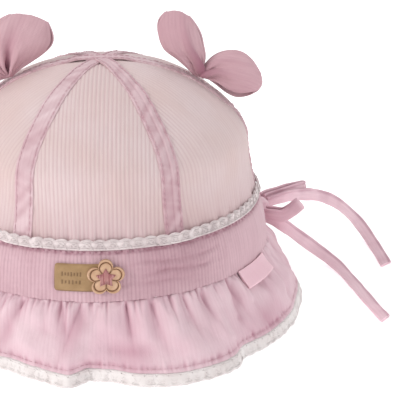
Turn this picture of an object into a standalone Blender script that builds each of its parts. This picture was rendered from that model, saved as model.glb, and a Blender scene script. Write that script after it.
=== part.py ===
"""A baby's cotton sun hat standing on its brim.

Six crown panels with strips over their seams, lace over the join with a deep band, a gathered brim
edged with lace, two looped cloth bows on the crown, a leather patch and flower, and a flat tie at
one side. Metres, Z up, the front faces -Y. Angles run round the hat from the front towards +X.
"""

import math

import bpy
import numpy as np

MM = 0.001

# Sizes in millimetres.
CLOTH_WALL = 1.2
SEAM_GAP = 0.3
CROWN_RADIUS = 72.0
CROWN_FOOT = 53.3
CROWN_RISE = 64.3
CROWN_PUFF = 0.7
SEAM_ANGLES = (-30.0, 24.5, 90.0, 150.0, 210.0, 270.0)
PANEL_COLUMNS = 5
POLE_HOLE_WAY = 0.972
STRIP_WIDTH = 9.0
STRIP_TOP_WIDTH = 6.0
STRIP_TAPER = 40.0
STRIP_WALL = 0.8
TRIM_HEIGHT = 5.5
TRIM_WALL = 0.9
TRIM_SCALLOPS = 80
TRIM_SCALLOP_DEPTH = 0.9
TRIM_OVER_BAND = 0.6
TRIM_STEP_REACH = 5.3
TRIM_STEP_RAMP = 2.6
BAND_STEP = 0.6
BAND_FLARE = 5.0
BAND_FOOT = 31.4
BAND_WALL = 2.0
BAND_COLUMNS = 60
BRIM_TUCK = 0.3
BRIM_SPREAD = 14.9
BRIM_WAVE = 10.0
HEM_HEIGHT = 5.5
LACE_WALL = 0.9
LACE_FLARE = 1.5
LACE_SCALLOP_DEPTH = 1.3
GATHER_DEPTH = 1.35
PATCH_LENGTH = 25.0
PATCH_HEIGHT = 12.0
PATCH_WALL = 1.0
PATCH_CORNER = 1.2
FLOWER_REACH = 4.9
PETAL_RADIUS = 3.1
PETAL_COUNT = 5
FLOWER_WALL = 1.1
FLOWER_RIM = 0.5
STAR_RADIUS = 4.2
STAR_WALL = 0.7
LABEL_WALL = 1.2
LABEL_LIFT = 2.0
BOW_LOOP = 20.0
PINCH_LIFT = 1.45
TIE_WIDTH = 6.5
TIE_THICKNESS = 1.5
KNOT_RADIUS = 4.7

# Crown outline from foot to pole: share of CROWN_RADIUS, share of CROWN_RISE.
CROWN_OUTLINE = (
    (1.0, 0.0),
    (0.976, 0.128),
    (0.956, 0.283),
    (0.94, 0.451),
    (0.875, 0.591),
    (0.762, 0.711),
    (0.645, 0.809),
    (0.526, 0.885),
    (0.375, 0.947),
    (0.201, 0.988),
    (0.0, 1.0),
)

# Ways up the crown at which the panels and strips have their rows.
CROWN_ROWS = (0.0, 0.11, 0.24, 0.36, 0.47, 0.58, 0.69, 0.8, 0.9)

# Band outline from top to foot: share of the band's height, share of BAND_FLARE.
BAND_OUTLINE = ((0.0, 0.0), (0.12, 0.26), (0.5, 0.72), (1.0, 1.0))

# Brim from its seam to the hem: share of the drop, share of the spread, depth of the gathers.
BRIM_OUTLINE = (
    (0.0, 0.0, 0.3),
    (0.14, 0.12, 0.95),
    (0.36, 0.38, 1.0),
    (0.66, 0.72, 0.75),
    (1.0, 1.0, 0.4),
)

# Soft waves of the brim: angle in degrees, how far the rim stands out beyond its round as a
# share of BRIM_WAVE.
BRIM_WAVES = (
    (-170, -0.15),
    (-150, 0.2),
    (-131, -0.15),
    (-112, 0.22),
    (-95, -0.02),
    (-78, 0.2),
    (-62, -0.15),
    (-48, 0.05),
    (-37, -0.45),
    (-30, -0.55),
    (-22, -0.3),
    (-15, 0.05),
    (-11, 0.2),
    (-6, -0.45),
    (0, -0.3),
    (6, 0.2),
    (11, 0.45),
    (18, 0.7),
    (27, 0.7),
    (33, 0.55),
    (40, 0.05),
    (48, 0.15),
    (60, 0.15),
    (75, 0.03),
    (88, 0.08),
    (101, -0.2),
    (114, -0.25),
    (128, 0.2),
    (143, -0.15),
    (158, 0.2),
    (172, 0.39),
)

# The brim's deepest folds: angle in degrees, strength.
GATHERS = (
    (-176, 1.0),
    (-168, 0.8),
    (-160, 1.1),
    (-151, 0.9),
    (-143, 1.0),
    (-135, 0.8),
    (-126, 1.1),
    (-118, 0.9),
    (-110, 1.0),
    (-102, 0.8),
    (-94, 1.1),
    (-86, 0.9),
    (-78, 1.0),
    (-70, 0.9),
    (-62, 1.1),
    (-54, 0.8),
    (-47, 1.0),
    (-40, 0.9),
    (-33, 1.0),
    (-27, 1.1),
    (-20.5, 0.9),
    (-14.8, 1.0),
    (-8.5, 1.2),
    (-2.8, 0.9),
    (5.6, 1.2),
    (13.3, 1.1),
    (18.5, 0.8),
    (24, 1.1),
    (30.5, 1.0),
    (36.5, 0.8),
    (42.2, 1.1),
    (48.2, 1.0),
    (55, 0.9),
    (62, 1.0),
    (69, 0.8),
    (76, 1.1),
    (83, 0.9),
    (90, 1.0),
    (98, 0.8),
    (106, 1.1),
    (114, 0.9),
    (122, 1.0),
    (130, 0.8),
    (139, 1.1),
    (148, 0.9),
    (157, 1.0),
    (166, 0.8),
    (175, 1.0),
)

# One loop of a bow from its pinch to its fold, as shares of BOW_LOOP from the pinch. Columns: near
# edge across and up, far edge across and up, half the loop's depth.
RIGHT_INNER_LOOP = (
    (-0.08, 0.07, 0.045, 0.09, 0.055),
    (-0.25, 0.25, 0.13, 0.3, 0.12),
    (-0.495, 0.49, 0.165, 0.52, 0.19),
    (-0.78, 0.73, 0.13, 0.75, 0.24),
    (-0.905, 1.04, 0.08, 0.99, 0.235),
    (-0.895, 1.34, -0.02, 1.2, 0.17),
    (-0.75, 1.5, -0.17, 1.38, 0.0),
)
RIGHT_OUTER_LOOP = (
    (0.045, 0.095, 0.07, 0.03, 0.055),
    (0.14, 0.25, 0.22, -0.03, 0.12),
    (0.375, 0.49, 0.43, -0.2, 0.19),
    (0.675, 0.6, 0.68, -0.42, 0.24),
    (1.0, 0.57, 0.93, -0.54, 0.235),
    (1.26, 0.37, 1.21, -0.49, 0.17),
    (1.41, 0.09, 1.35, -0.33, 0.0),
)
LEFT_INNER_LOOP = (
    (-0.045, 0.09, 0.08, 0.07, 0.055),
    (-0.16, 0.28, 0.275, 0.23, 0.12),
    (-0.26, 0.54, 0.55, 0.4, 0.19),
    (-0.33, 0.83, 0.8, 0.56, 0.24),
    (-0.32, 1.1, 1.01, 0.76, 0.235),
    (-0.17, 1.33, 1.045, 0.99, 0.17),
    (0.08, 1.44, 0.94, 1.24, 0.0),
)
LOOP_COLUMNS = 5
FOLD_BULGE = 1.6
LOOP_PLEAT = 0.8
FRONT_SHARE = 0.82
RIGHT_PINCH_WAY = 0.5745
LEFT_PINCH_WAY = 0.605

# The tie's routes: x, y, z in millimetres and the lean of its flat face in degrees.
KNOT_PLACE = (78.3, 24.1, 33.0)
UPPER_TAIL = (
    (81.5, 27.6, 33.9, 72),
    (87.8, 31.5, 34.3, 76),
    (96.4, 38.5, 33.4, 86),
    (107.0, 46.5, 30.6, 98),
    (116.1, 53.0, 26.3, 108),
    (125.1, 58.0, 19.9, 118),
    (133.7, 59.5, 11.5, 132),
    (138.3, 56.5, 6.1, 150),
    (141.0, 49.5, 2.6, 168),
    (142.4, 39.7, 1.0, 178),
    (142.8, 29.8, 0.9, 180),
    (142.9, 20.1, 0.9, 180),
)
LOWER_TAIL = (
    (80.7, 22.2, 28.1, 58),
    (87.5, 22.2, 24.8, 72),
    (93.2, 25.0, 20.0, 88),
    (99.7, 27.0, 14.2, 104),
    (106.4, 27.0, 8.8, 120),
    (112.6, 24.0, 4.7, 140),
    (117.3, 18.5, 1.9, 168),
    (120.8, 5.1, 0.9, 180),
    (123.4, -11.0, 0.9, 180),
    (126.0, -28.0, 0.9, 180),
    (128.7, -42.5, 0.9, 180),
)
UPPER_LOOP = (
    (79.2, 30.4, 34.8, 76),
    (82.6, 34.0, 34.9, 80),
    (88.8, 38.0, 34.8, 86),
    (96.6, 43.8, 34.6, 92),
    (103.2, 49.2, 34.0, 96),
)
LOWER_LOOP = (
    (80.2, 17.9, 32.7, 66),
    (83.6, 15.6, 32.7, 76),
    (88.0, 14.4, 32.4, 88),
    (92.3, 13.6, 34.9, 98),
    (95.2, 13.2, 37.6, 104),
)
LOOP_HALF_GAP = 1.15

# Places on the band and brim: angles in degrees, heights as shares of the band's height.
FLOWER_ANGLE = -0.4
FLOWER_SHARE = 0.5
PATCH_START = -16.9
PATCH_SHARE = 0.51
LABEL_FROM = 48.5
LABEL_TO = 66.5


def clear_scene():
    for obj in list(bpy.data.objects):
        bpy.data.objects.remove(obj, do_unlink=True)
    bpy.context.scene.unit_settings.scale_length = 1.0


def linear(channel):
    if channel <= 0.04045:
        return channel / 12.92
    return ((channel + 0.055) / 1.055) ** 2.4


def make_material(name, hex_colour, roughness):
    """A plain material with a colour and a roughness, no metal."""
    material = bpy.data.materials.new(name)
    material.use_nodes = True
    shader = material.node_tree.nodes["Principled BSDF"]
    parts = [int(hex_colour[i : i + 2], 16) / 255 for i in (0, 2, 4)]
    colour = [linear(part) for part in parts] + [1.0]
    shader.inputs["Base Color"].default_value = colour
    shader.inputs["Roughness"].default_value = roughness
    shader.inputs["Metallic"].default_value = 0.0
    material.diffuse_color = colour
    return material


def smooth_through(x, xs, ys):
    """A curve through every point of a table that never overshoots between two of them."""
    xs = np.asarray(xs, float)
    ys = np.asarray(ys, float)
    steps = np.diff(xs)
    slopes = np.diff(ys) / steps
    bends = np.zeros(len(xs))
    bends[0] = slopes[0]
    bends[-1] = slopes[-1]
    for i in range(1, len(xs) - 1):
        before = slopes[i - 1]
        after = slopes[i]
        if before * after > 0:
            bends[i] = 2 * before * after / (before + after)
    x = np.clip(np.asarray(x, float), xs[0], xs[-1])
    at = np.clip(np.searchsorted(xs, x, side="right") - 1, 0, len(xs) - 2)
    share = (x - xs[at]) / steps[at]
    rise = ys[at] * (2 * share**3 - 3 * share**2 + 1)
    rise += ys[at + 1] * (-2 * share**3 + 3 * share**2)
    rise += bends[at] * steps[at] * (share**3 - 2 * share**2 + share)
    return rise + bends[at + 1] * steps[at] * (share**3 - share**2)


def around(angle, table):
    """A table of angle and value read smoothly at any angle, all the way round."""
    angles = [row[0] for row in table]
    values = [row[1] for row in table]
    xs = [angles[-1] - 360] + angles + [angles[0] + 360]
    ys = [values[-1]] + values + [values[0]]
    turned = (np.asarray(angle, float) - xs[0]) % 360 + xs[0]
    return smooth_through(turned, xs, ys)


def place(radius, angle, height):
    """The point at this radius and height, at an angle in degrees from the front."""
    turn = np.radians(angle)
    return np.stack(
        np.broadcast_arrays(radius * np.sin(turn), -radius * np.cos(turn), height), axis=-1
    )


def panel_share(angle):
    """How far an angle lies across its panel, from 0 at one seam to 1 at the next."""
    seams = np.array(SEAM_ANGLES + (SEAM_ANGLES[0] + 360,))
    turned = (np.asarray(angle, float) - seams[0]) % 360 + seams[0]
    return np.interp(turned, seams, np.arange(len(seams))) % 1


def crown_ways():
    """How far along the crown's outline each row of its table lies, foot 0 and pole 1."""
    table = np.array(CROWN_OUTLINE) * (CROWN_RADIUS, CROWN_RISE)
    lengths = np.hypot(*np.diff(table, axis=0).T)
    return np.concatenate([[0], np.cumsum(lengths)]) / lengths.sum()


def crown_surface(angle, way):
    """The outer face of the crown's cloth."""
    ways = crown_ways()
    table = np.array(CROWN_OUTLINE)
    radius = CROWN_RADIUS * smooth_through(way, ways, table[:, 0])
    height = CROWN_FOOT + CROWN_RISE * smooth_through(way, ways, table[:, 1])
    puff = CROWN_PUFF * (1 - 2 * np.cos(np.pi * panel_share(angle)) ** 4)
    puff = puff * np.sin(np.pi * np.clip(way, 0, 1)) ** 0.7
    return place(radius + puff, angle, height)


def crown_offset(angle, way, out):
    """A point off the crown's outer face, along the way the cloth faces there."""
    step = 0.004
    here = crown_surface(angle, way)
    along = crown_surface(angle, np.minimum(way + step, 1)) - crown_surface(
        angle, np.maximum(way - step, 0)
    )
    across = place(np.ones_like(here[..., 0]), np.asarray(angle) + 90, 0.0)
    facing = np.cross(across, along)
    facing /= np.linalg.norm(facing, axis=-1, keepdims=True)
    return here + facing * np.asarray(out)[..., None]


def crown_way_at(height):
    """The way up the crown that lies at a height on its lower half."""
    ways = np.linspace(0, 0.5, 400)
    heights = crown_surface(0.0, ways)[:, 2]
    return np.interp(height, heights, ways)


def band_top():
    return CROWN_FOOT - SEAM_GAP


def band_radius(height):
    share = (band_top() - height) / (band_top() - BAND_FOOT)
    shares = [row[0] for row in BAND_OUTLINE]
    flares = [row[1] for row in BAND_OUTLINE]
    return CROWN_RADIUS + BAND_STEP + BAND_FLARE * smooth_through(share, shares, flares)


def on_band(angle, share, side, up, out):
    """A point off the band's face: side and up in its face from a named place, out from it."""
    height = BAND_FOOT + (band_top() - BAND_FOOT) * share
    level = height + up * 0.97
    radius = band_radius(level) + out * 0.97
    turn = angle + np.degrees(side / band_radius(height))
    return place(radius, turn, level + out * 0.24)


def brim_surface(angle, share):
    """The smooth outer face of the brim, without its gathers. Share 0 is the seam, 1 the hem."""
    shares = [row[0] for row in BRIM_OUTLINE]
    spreads = [row[1] for row in BRIM_OUTLINE]
    top = BAND_FOOT - SEAM_GAP
    height = top - (top - HEM_HEIGHT) * share
    spread = smooth_through(share, shares, spreads)
    radius = band_radius(BAND_FOOT) - BRIM_TUCK + BRIM_SPREAD * spread
    wave = BRIM_WAVE * around(angle, BRIM_WAVES) * np.clip(share, 0, 1) ** 1.15
    return place(radius + wave, angle, height)


def grid_faces(rows, columns, closed_round=False):
    """Four-cornered faces over a grid of points numbered row by row."""
    faces = []
    for i in range(rows - 1):
        for j in range(columns if closed_round else columns - 1):
            after = (j + 1) % columns
            faces.append(
                (
                    i * columns + j,
                    i * columns + after,
                    (i + 1) * columns + after,
                    (i + 1) * columns + j,
                )
            )
    return faces


def facing_of(grid, closed_round):
    """The way a sheet faces at every point of its grid."""
    along = np.gradient(grid, axis=0)
    if closed_round:
        across = np.roll(grid, -1, axis=1) - np.roll(grid, 1, axis=1)
    else:
        across = np.gradient(grid, axis=1)
    facing = np.cross(across, along)
    size = np.linalg.norm(facing, axis=-1, keepdims=True)
    return facing / np.maximum(size, 1e-9)


def add_piece(name, front, back, faces, material):
    """One closed solid: the front faces, the same faces behind them, and walls at the edges."""
    front = np.asarray(front, float).reshape(-1, 3)
    back = np.asarray(back, float).reshape(-1, 3)
    behind = len(front)
    edges = {}
    for face in faces:
        for start, end in zip(face, face[1:] + face[:1], strict=True):
            edges[(start, end)] = True
    solid = list(faces)
    for face in faces:
        solid.append(tuple(behind + corner for corner in reversed(face)))
    for start, end in edges:
        if (end, start) not in edges:
            solid.append((end, start, start + behind, end + behind))
    points = np.concatenate([front, back]) * MM
    volume = 0.0
    for face in solid:
        for i in range(1, len(face) - 1):
            corners = points[[face[0], face[i], face[i + 1]]]
            volume += np.linalg.det(corners)
    if volume < 0:
        solid = [tuple(reversed(face)) for face in solid]
    mesh = bpy.data.meshes.new(name)
    mesh.from_pydata([tuple(point) for point in points], [], solid)
    mesh.materials.append(material)
    for face in mesh.polygons:
        face.use_smooth = True
    mesh.set_sharp_from_angle(angle=math.radians(50))
    mesh.update()
    obj = bpy.data.objects.new(name, mesh)
    bpy.context.scene.collection.objects.link(obj)
    return obj


def add_crown(cloth):
    """Six panels, each its own wall, open in a small hole under the strips at the pole."""
    ways = np.array(CROWN_ROWS + (POLE_HOLE_WAY,))
    seams = SEAM_ANGLES + (SEAM_ANGLES[0] + 360,)
    for number, (start, end) in enumerate(zip(seams, seams[1:], strict=False)):
        outer = []
        inner = []
        for way in ways:
            radius = np.hypot(*crown_surface(start, way)[:2])
            margin = math.degrees(SEAM_GAP / 2 / radius)
            angles = np.linspace(start + margin, end - margin, PANEL_COLUMNS + 1)
            outer.append(crown_offset(angles, np.full(len(angles), way), 0.0 * angles))
            inner.append(
                crown_offset(angles, np.full(len(angles), way), 0.0 * angles - CLOTH_WALL)
            )
        inner[0][:, 2] = CROWN_FOOT
        faces = grid_faces(len(ways), PANEL_COLUMNS + 1)
        add_piece(f"crown_panel_{number + 1}", outer, inner, faces, cloth)


def add_seam_strips(cloth):
    """Six arms, three points wide, that share the corners of a hub at the pole."""
    hub_radius = STRIP_TOP_WIDTH
    ways = crown_ways()
    radii = CROWN_RADIUS * np.array(CROWN_OUTLINE)[:, 0]
    fine = np.linspace(0, 1, 2000)
    fine_radii = smooth_through(fine, ways, radii)
    hub_way = float(np.interp(-hub_radius, -fine_radii, fine))
    spots = []
    numbers = {}

    def number_of(key, angle, way):
        if key not in numbers:
            numbers[key] = len(spots)
            spots.append((angle, way))
        return numbers[key]

    faces = []
    arms = len(SEAM_ANGLES)
    for arm, middle in enumerate(SEAM_ANGLES):
        before = (SEAM_ANGLES[arm - 1] - middle + 180) % 360 - 180
        after = (SEAM_ANGLES[(arm + 1) % arms] - middle + 180) % 360 - 180
        rows = []
        for i, way in enumerate(CROWN_ROWS):
            radius = float(smooth_through(way, ways, radii))
            taper = min(1.0, max(0.0, (radius - hub_radius) / STRIP_TAPER))
            half = (STRIP_TOP_WIDTH + (STRIP_WIDTH - STRIP_TOP_WIDTH) * taper) / 2
            spread = math.degrees(math.asin(half / radius))
            sides = ((-1, -spread), (0, 0.0), (1, spread))
            rows.append([number_of((arm, i, side), middle + turn, way) for side, turn in sides])
        corners = ((2 * arm - 1, before / 2), (2 * arm, 0.0), (2 * arm + 1, after / 2))
        rows.append(
            [
                number_of(("hub", corner % (2 * arms)), middle + turn, hub_way)
                for corner, turn in corners
            ]
        )
        for lower, upper in zip(rows, rows[1:], strict=False):
            faces.append((lower[0], lower[1], upper[1], upper[0]))
            faces.append((lower[1], lower[2], upper[2], upper[1]))
    pole = number_of("pole", 0.0, 1.0)
    for i in range(2 * arms):
        after = (i + 1) % (2 * arms)
        faces.append((numbers[("hub", i)], numbers[("hub", after)], pole))
    angles = np.array([spot[0] for spot in spots])
    spot_ways = np.array([spot[1] for spot in spots])
    inner = crown_offset(angles, spot_ways, np.full(len(spots), SEAM_GAP))
    outer = crown_offset(angles, spot_ways, np.full(len(spots), SEAM_GAP + STRIP_WALL))
    top = CROWN_FOOT + CROWN_RISE
    inner[pole] = (0.0, 0.0, top + SEAM_GAP)
    outer[pole] = (0.0, 0.0, top + SEAM_GAP + STRIP_WALL)
    add_piece("seam_strips", outer, inner, faces, cloth)


def trim_lift(angle):
    """How far the lace stands off the crown, more where it runs over a seam strip."""
    from_seam = np.min(
        [np.abs((np.asarray(angle) - seam + 180) % 360 - 180) for seam in SEAM_ANGLES], axis=0
    )
    from_strip = CROWN_RADIUS * np.radians(from_seam) - STRIP_WIDTH / 2
    bump = np.clip((TRIM_STEP_REACH - from_strip) / TRIM_STEP_RAMP, 0, 1)
    return 1.3 * SEAM_GAP + (STRIP_WALL + SEAM_GAP) * bump


def add_lace_trim(lace):
    """Narrow lace over the join of crown and band, with a scalloped upper edge."""
    columns = 2 * TRIM_SCALLOPS
    angles = np.arange(columns) * 360 / columns
    foot = band_top() - TRIM_OVER_BAND
    notch = TRIM_SCALLOP_DEPTH * (np.arange(columns) % 2)
    lift = trim_lift(angles)
    foot_radius = band_radius(foot) + lift
    top_height = foot + TRIM_HEIGHT - notch
    top = crown_surface(angles, crown_way_at(top_height))
    top_radius = np.hypot(top[:, 0], top[:, 1]) + lift
    inner = [
        place(foot_radius, angles, foot),
        place(top_radius, angles, top_height),
    ]
    outer = [
        place(foot_radius + TRIM_WALL, angles, foot),
        place(top_radius + TRIM_WALL, angles, top_height),
    ]
    add_piece("lace_trim", outer, inner, grid_faces(2, columns, True), lace)


def add_band(cloth):
    heights = np.array([0.0, 0.12, 0.5, 1.0])
    heights = band_top() - heights * (band_top() - BAND_FOOT)
    angles = np.arange(BAND_COLUMNS) * 360 / BAND_COLUMNS
    outer = [place(band_radius(z) + 0 * angles, angles, z) for z in heights]
    inner = [place(band_radius(z) - BAND_WALL + 0 * angles, angles, z) for z in heights]
    add_piece("band", outer, inner, grid_faces(len(heights), BAND_COLUMNS, True), cloth)


def brim_grid():
    """The gathered brim's outer face: three columns to a gather, a sharp valley and two ridges."""
    folds = [row[0] for row in GATHERS]
    strengths = [row[1] for row in GATHERS]
    angles = []
    depths = []
    for i, fold in enumerate(folds):
        after = folds[i + 1] if i + 1 < len(folds) else folds[0] + 360
        angles += [fold, fold + (after - fold) * 0.3, fold + (after - fold) * 0.7]
        depths += [-strengths[i], 0.55 * strengths[i], 0.55]
    angles = np.array(angles, float)
    depths = np.array(depths)
    rows = []
    for share, _, depth in BRIM_OUTLINE:
        smooth = brim_surface(angles, np.full(len(angles), share))
        outward = place(np.ones(len(angles)), angles, 0.45)
        rows.append(smooth + outward * (GATHER_DEPTH * depth * depths)[:, None])
    return angles, np.array(rows)


def add_brim(cloth):
    _, outer = brim_grid()
    facing = facing_of(outer, True)
    if facing[0, 0] @ outer[0, 0] < 0:
        facing = -facing
    inner = outer - facing * CLOTH_WALL
    hem = outer[-1, :, 2].mean()
    outer[-1, :, 2] = hem
    inner[-1, :, 2] = hem
    top = BAND_FOOT - SEAM_GAP
    outer[0, :, 2] = top
    inner[0, :, 2] = top
    faces = grid_faces(len(outer), outer.shape[1], True)
    add_piece("brim", outer, inner, faces, cloth)
    return outer, inner


def add_lace_edge(lace, outer, inner):
    """Lace below the hem: two columns to each of the brim's, three to a scallop, feet flat at 0."""
    middle = (outer[-1] + inner[-1]) / 2
    between = (middle + np.roll(middle, -1, axis=0)) / 2
    line = np.empty((2 * len(middle), 3))
    line[0::2] = middle
    line[1::2] = between
    along = np.roll(line, -1, axis=0) - np.roll(line, 1, axis=0)
    outward = np.stack([along[:, 1], -along[:, 0], np.zeros(len(along))], axis=-1)
    outward /= np.linalg.norm(outward, axis=-1, keepdims=True)
    outward *= np.sign((outward * line).sum(axis=1))[:, None]
    top = line.copy()
    top[:, 2] = line[:, 2].min() - SEAM_GAP
    foot = line + outward * LACE_FLARE
    foot[:, 2] = np.where(np.arange(len(line)) % 3 == 0, LACE_SCALLOP_DEPTH, 0.0)
    front = np.stack([top + outward * LACE_WALL / 2, foot + outward * LACE_WALL / 2])
    back = np.stack([top - outward * LACE_WALL / 2, foot - outward * LACE_WALL / 2])
    add_piece("lace_edge", front, back, grid_faces(2, len(line), True), lace)


def loop_rows(table, across, back_first):
    """One loop of a bow as rows of points: out along one layer, round the fold, back the other."""
    shares = np.linspace(0, 1, LOOP_COLUMNS + 1)
    table = np.array(table) * BOW_LOOP
    rows = []
    order = list(range(len(table))) + list(range(len(table) - 2, -1, -1))
    for step, i in enumerate(order):
        near = table[i, 0:2] * (across, 1)
        far = table[i, 2:4] * (across, 1)
        at_back = (step < len(table) - 1) == back_first
        reach = 1.0
        if not at_back and i < len(table) - 1:
            reach = 1 - (1 - FRONT_SHARE) * min(1.0, i / 2)
        side = -1.0 if not at_back else 1.0
        depth = table[i, 4]
        cup = 1 - 0.35 * (2 * shares - 1) ** 2
        pleat = LOOP_PLEAT * np.cos(3 * np.pi * shares) * max(0.0, 1 - i / 4) * min(1.0, i)
        flat = near + (far - near) * (shares * reach)[:, None]
        if i == len(table) - 1:
            middle = table[i - 1, 0:4].reshape(2, 2).mean(axis=0) * (across, 1)
            outward = (near + far) / 2 - middle
            outward /= np.linalg.norm(outward)
            bulge = FOLD_BULGE * (np.sin(np.pi * shares) + 0.375)
            flat = flat + outward * bulge[:, None]
        y = side * depth * cup + (pleat if i < len(table) - 1 else 0)
        rows.append(np.stack([flat[:, 0], y + 0 * shares, flat[:, 1]], axis=-1))
    return rows


def add_bow(name, pinch_way, inner_table, outer_table, outer_across, cloth):
    """A strip of cloth folded into two loops that meet at a sewn pinch on the crown."""
    pinch = crown_offset(90 * outer_across, pinch_way, PINCH_LIFT)
    inner_rows = loop_rows(inner_table, 1, True)
    outer_rows = loop_rows(outer_table, outer_across, False)
    if outer_across < 0:
        inner_rows = [row[::-1] for row in inner_rows]
    grid = np.array(inner_rows + [row[::-1] for row in outer_rows])
    grid = grid + pinch
    facing = facing_of(grid, False)
    front = grid + facing * CLOTH_WALL / 2
    back = grid - facing * CLOTH_WALL / 2
    add_piece(name, front, back, grid_faces(len(grid), LOOP_COLUMNS + 1), cloth)


def add_patch(leather):
    shares = np.array([0.0, 0.035, 0.15, 0.4, 0.65, 0.85, 0.965, 1.0])
    corner = np.array([1.0, 0.3, 0.0, 0.0, 0.0, 0.0, 0.3, 1.0]) * PATCH_CORNER
    front = []
    back = []
    for level in (-1.0, -0.33, 0.33, 1.0):
        up = level * (PATCH_HEIGHT / 2 - (corner if abs(level) == 1 else corner * 0.33))
        side = shares * PATCH_LENGTH
        front.append(on_band(PATCH_START, PATCH_SHARE, side, up, SEAM_GAP + PATCH_WALL + 0 * up))
        back.append(on_band(PATCH_START, PATCH_SHARE, side, up, SEAM_GAP + 0 * up))
    add_piece("patch", front, back, grid_faces(4, len(shares)), leather)


def petal_reach(turn):
    """How far a flower of round petals reaches in this direction."""
    part = 2 * math.pi / PETAL_COUNT
    off = (turn - math.pi / 2 + part / 2) % part - part / 2
    return FLOWER_REACH * math.cos(off) + math.sqrt(
        PETAL_RADIUS**2 - (FLOWER_REACH * math.sin(off)) ** 2
    )


def add_disc(name, spots, rings, base, wall, material):
    """A flat shape on the band: rings of the same outline drawn in, each with its own height."""
    front = []
    back = []
    faces = []
    count = len(spots)
    for share, lift in rings:
        for across, up in spots:
            front.append((across * share, up * share, base + wall + lift))
            back.append((across * share, up * share, base))
    front.append((0.0, 0.0, base + wall + rings[-1][1]))
    back.append((0.0, 0.0, base))
    for ring in range(len(rings) - 1):
        for i in range(count):
            after = (i + 1) % count
            faces.append(
                (
                    ring * count + i,
                    ring * count + after,
                    (ring + 1) * count + after,
                    (ring + 1) * count + i,
                )
            )
    last = (len(rings) - 1) * count
    for i in range(count):
        faces.append((last + i, last + (i + 1) % count, len(rings) * count))
    front = np.array(front)
    back = np.array(back)
    front = on_band(FLOWER_ANGLE, FLOWER_SHARE, front[:, 0], front[:, 1], front[:, 2])
    back = on_band(FLOWER_ANGLE, FLOWER_SHARE, back[:, 0], back[:, 1], back[:, 2])
    add_piece(name, front, back, faces, material)


def add_flower(leather, stitched):
    turns = np.radians(np.arange(0, 360, 12))
    spots = [(math.cos(t) * petal_reach(t), math.sin(t) * petal_reach(t)) for t in turns]
    base = 2 * SEAM_GAP + PATCH_WALL
    rings = ((1.0, FLOWER_RIM * 0.5), (0.92, FLOWER_RIM), (0.78, 0.0))
    add_disc("flower", spots, rings, base, FLOWER_WALL, leather)
    points = 2 * PETAL_COUNT
    star = []
    for i in range(points):
        turn = math.pi / 2 + 2 * math.pi * i / points
        reach = STAR_RADIUS if i % 2 == 0 else STAR_RADIUS * 0.52
        star.append((math.cos(turn) * reach, math.sin(turn) * reach))
    lift = base + FLOWER_WALL + SEAM_GAP
    add_disc("flower_centre", star, ((1.0, 0.0), (0.6, 0.25)), lift, STAR_WALL, stitched)


def add_label(cloth):
    """A folded tab that leaves the seam of band and brim and lies over the gathers."""
    angles = np.linspace(LABEL_FROM, LABEL_TO, 5)
    front = []
    back = []
    for share, lift in ((0.02, 0.5), (0.11, 0.7), (0.2, 0.95), (0.29, 1.1)):
        point = brim_surface(angles, np.full(len(angles), share))
        outward = place(np.ones(len(angles)), angles, 0.75) / 1.25
        back.append(point + outward * LABEL_LIFT * lift)
        front.append(point + outward * (LABEL_LIFT * lift + LABEL_WALL))
    add_piece("side_label", front, back, grid_faces(4, len(angles)), cloth)


def strap_frame(route):
    """For each point of a route with leans: where it runs, its width direction, its facing."""
    table = np.array(route, float)
    points = table[:, :3]
    along = np.gradient(points, axis=0)
    along /= np.linalg.norm(along, axis=1, keepdims=True)
    level = np.cross(along, (0.0, 0.0, 1.0))
    level /= np.linalg.norm(level, axis=1, keepdims=True)
    rising = np.cross(level, along)
    lean = np.radians(table[:, 3])[:, None]
    wide = level * np.cos(lean) + rising * np.sin(lean)
    return points, wide, np.cross(along, wide)


def add_strap(name, points, wide, facing, cloth):
    """A flat strap: a six-sided section swept along its points, closed at both ends."""
    half = TIE_WIDTH / 2
    thick = TIE_THICKNESS / 2
    section = ((-half, 0.0), (-0.8 * half, thick), (0.8 * half, thick))
    section = section + ((half, 0.0), (0.8 * half, -thick), (-0.8 * half, -thick))
    rows = []
    for point, across, out in zip(points, wide, facing, strict=True):
        rows.append([point + across * a + out * b for a, b in section])
    rows = np.array(rows) * MM
    count = len(section)
    faces = grid_faces(len(rows), count, True)
    faces.append(tuple(range(count))[::-1])
    faces.append(tuple((len(rows) - 1) * count + i for i in range(count)))
    flat = rows.reshape(-1, 3)
    volume = 0.0
    for face in faces:
        for i in range(1, len(face) - 1):
            volume += np.linalg.det(flat[[face[0], face[i], face[i + 1]]])
    if volume < 0:
        faces = [tuple(reversed(face)) for face in faces]
    mesh = bpy.data.meshes.new(name)
    mesh.from_pydata([tuple(point) for point in flat], [], faces)
    mesh.materials.append(cloth)
    for face in mesh.polygons:
        face.use_smooth = True
    mesh.set_sharp_from_angle(angle=math.radians(50))
    obj = bpy.data.objects.new(name, mesh)
    bpy.context.scene.collection.objects.link(obj)


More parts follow.
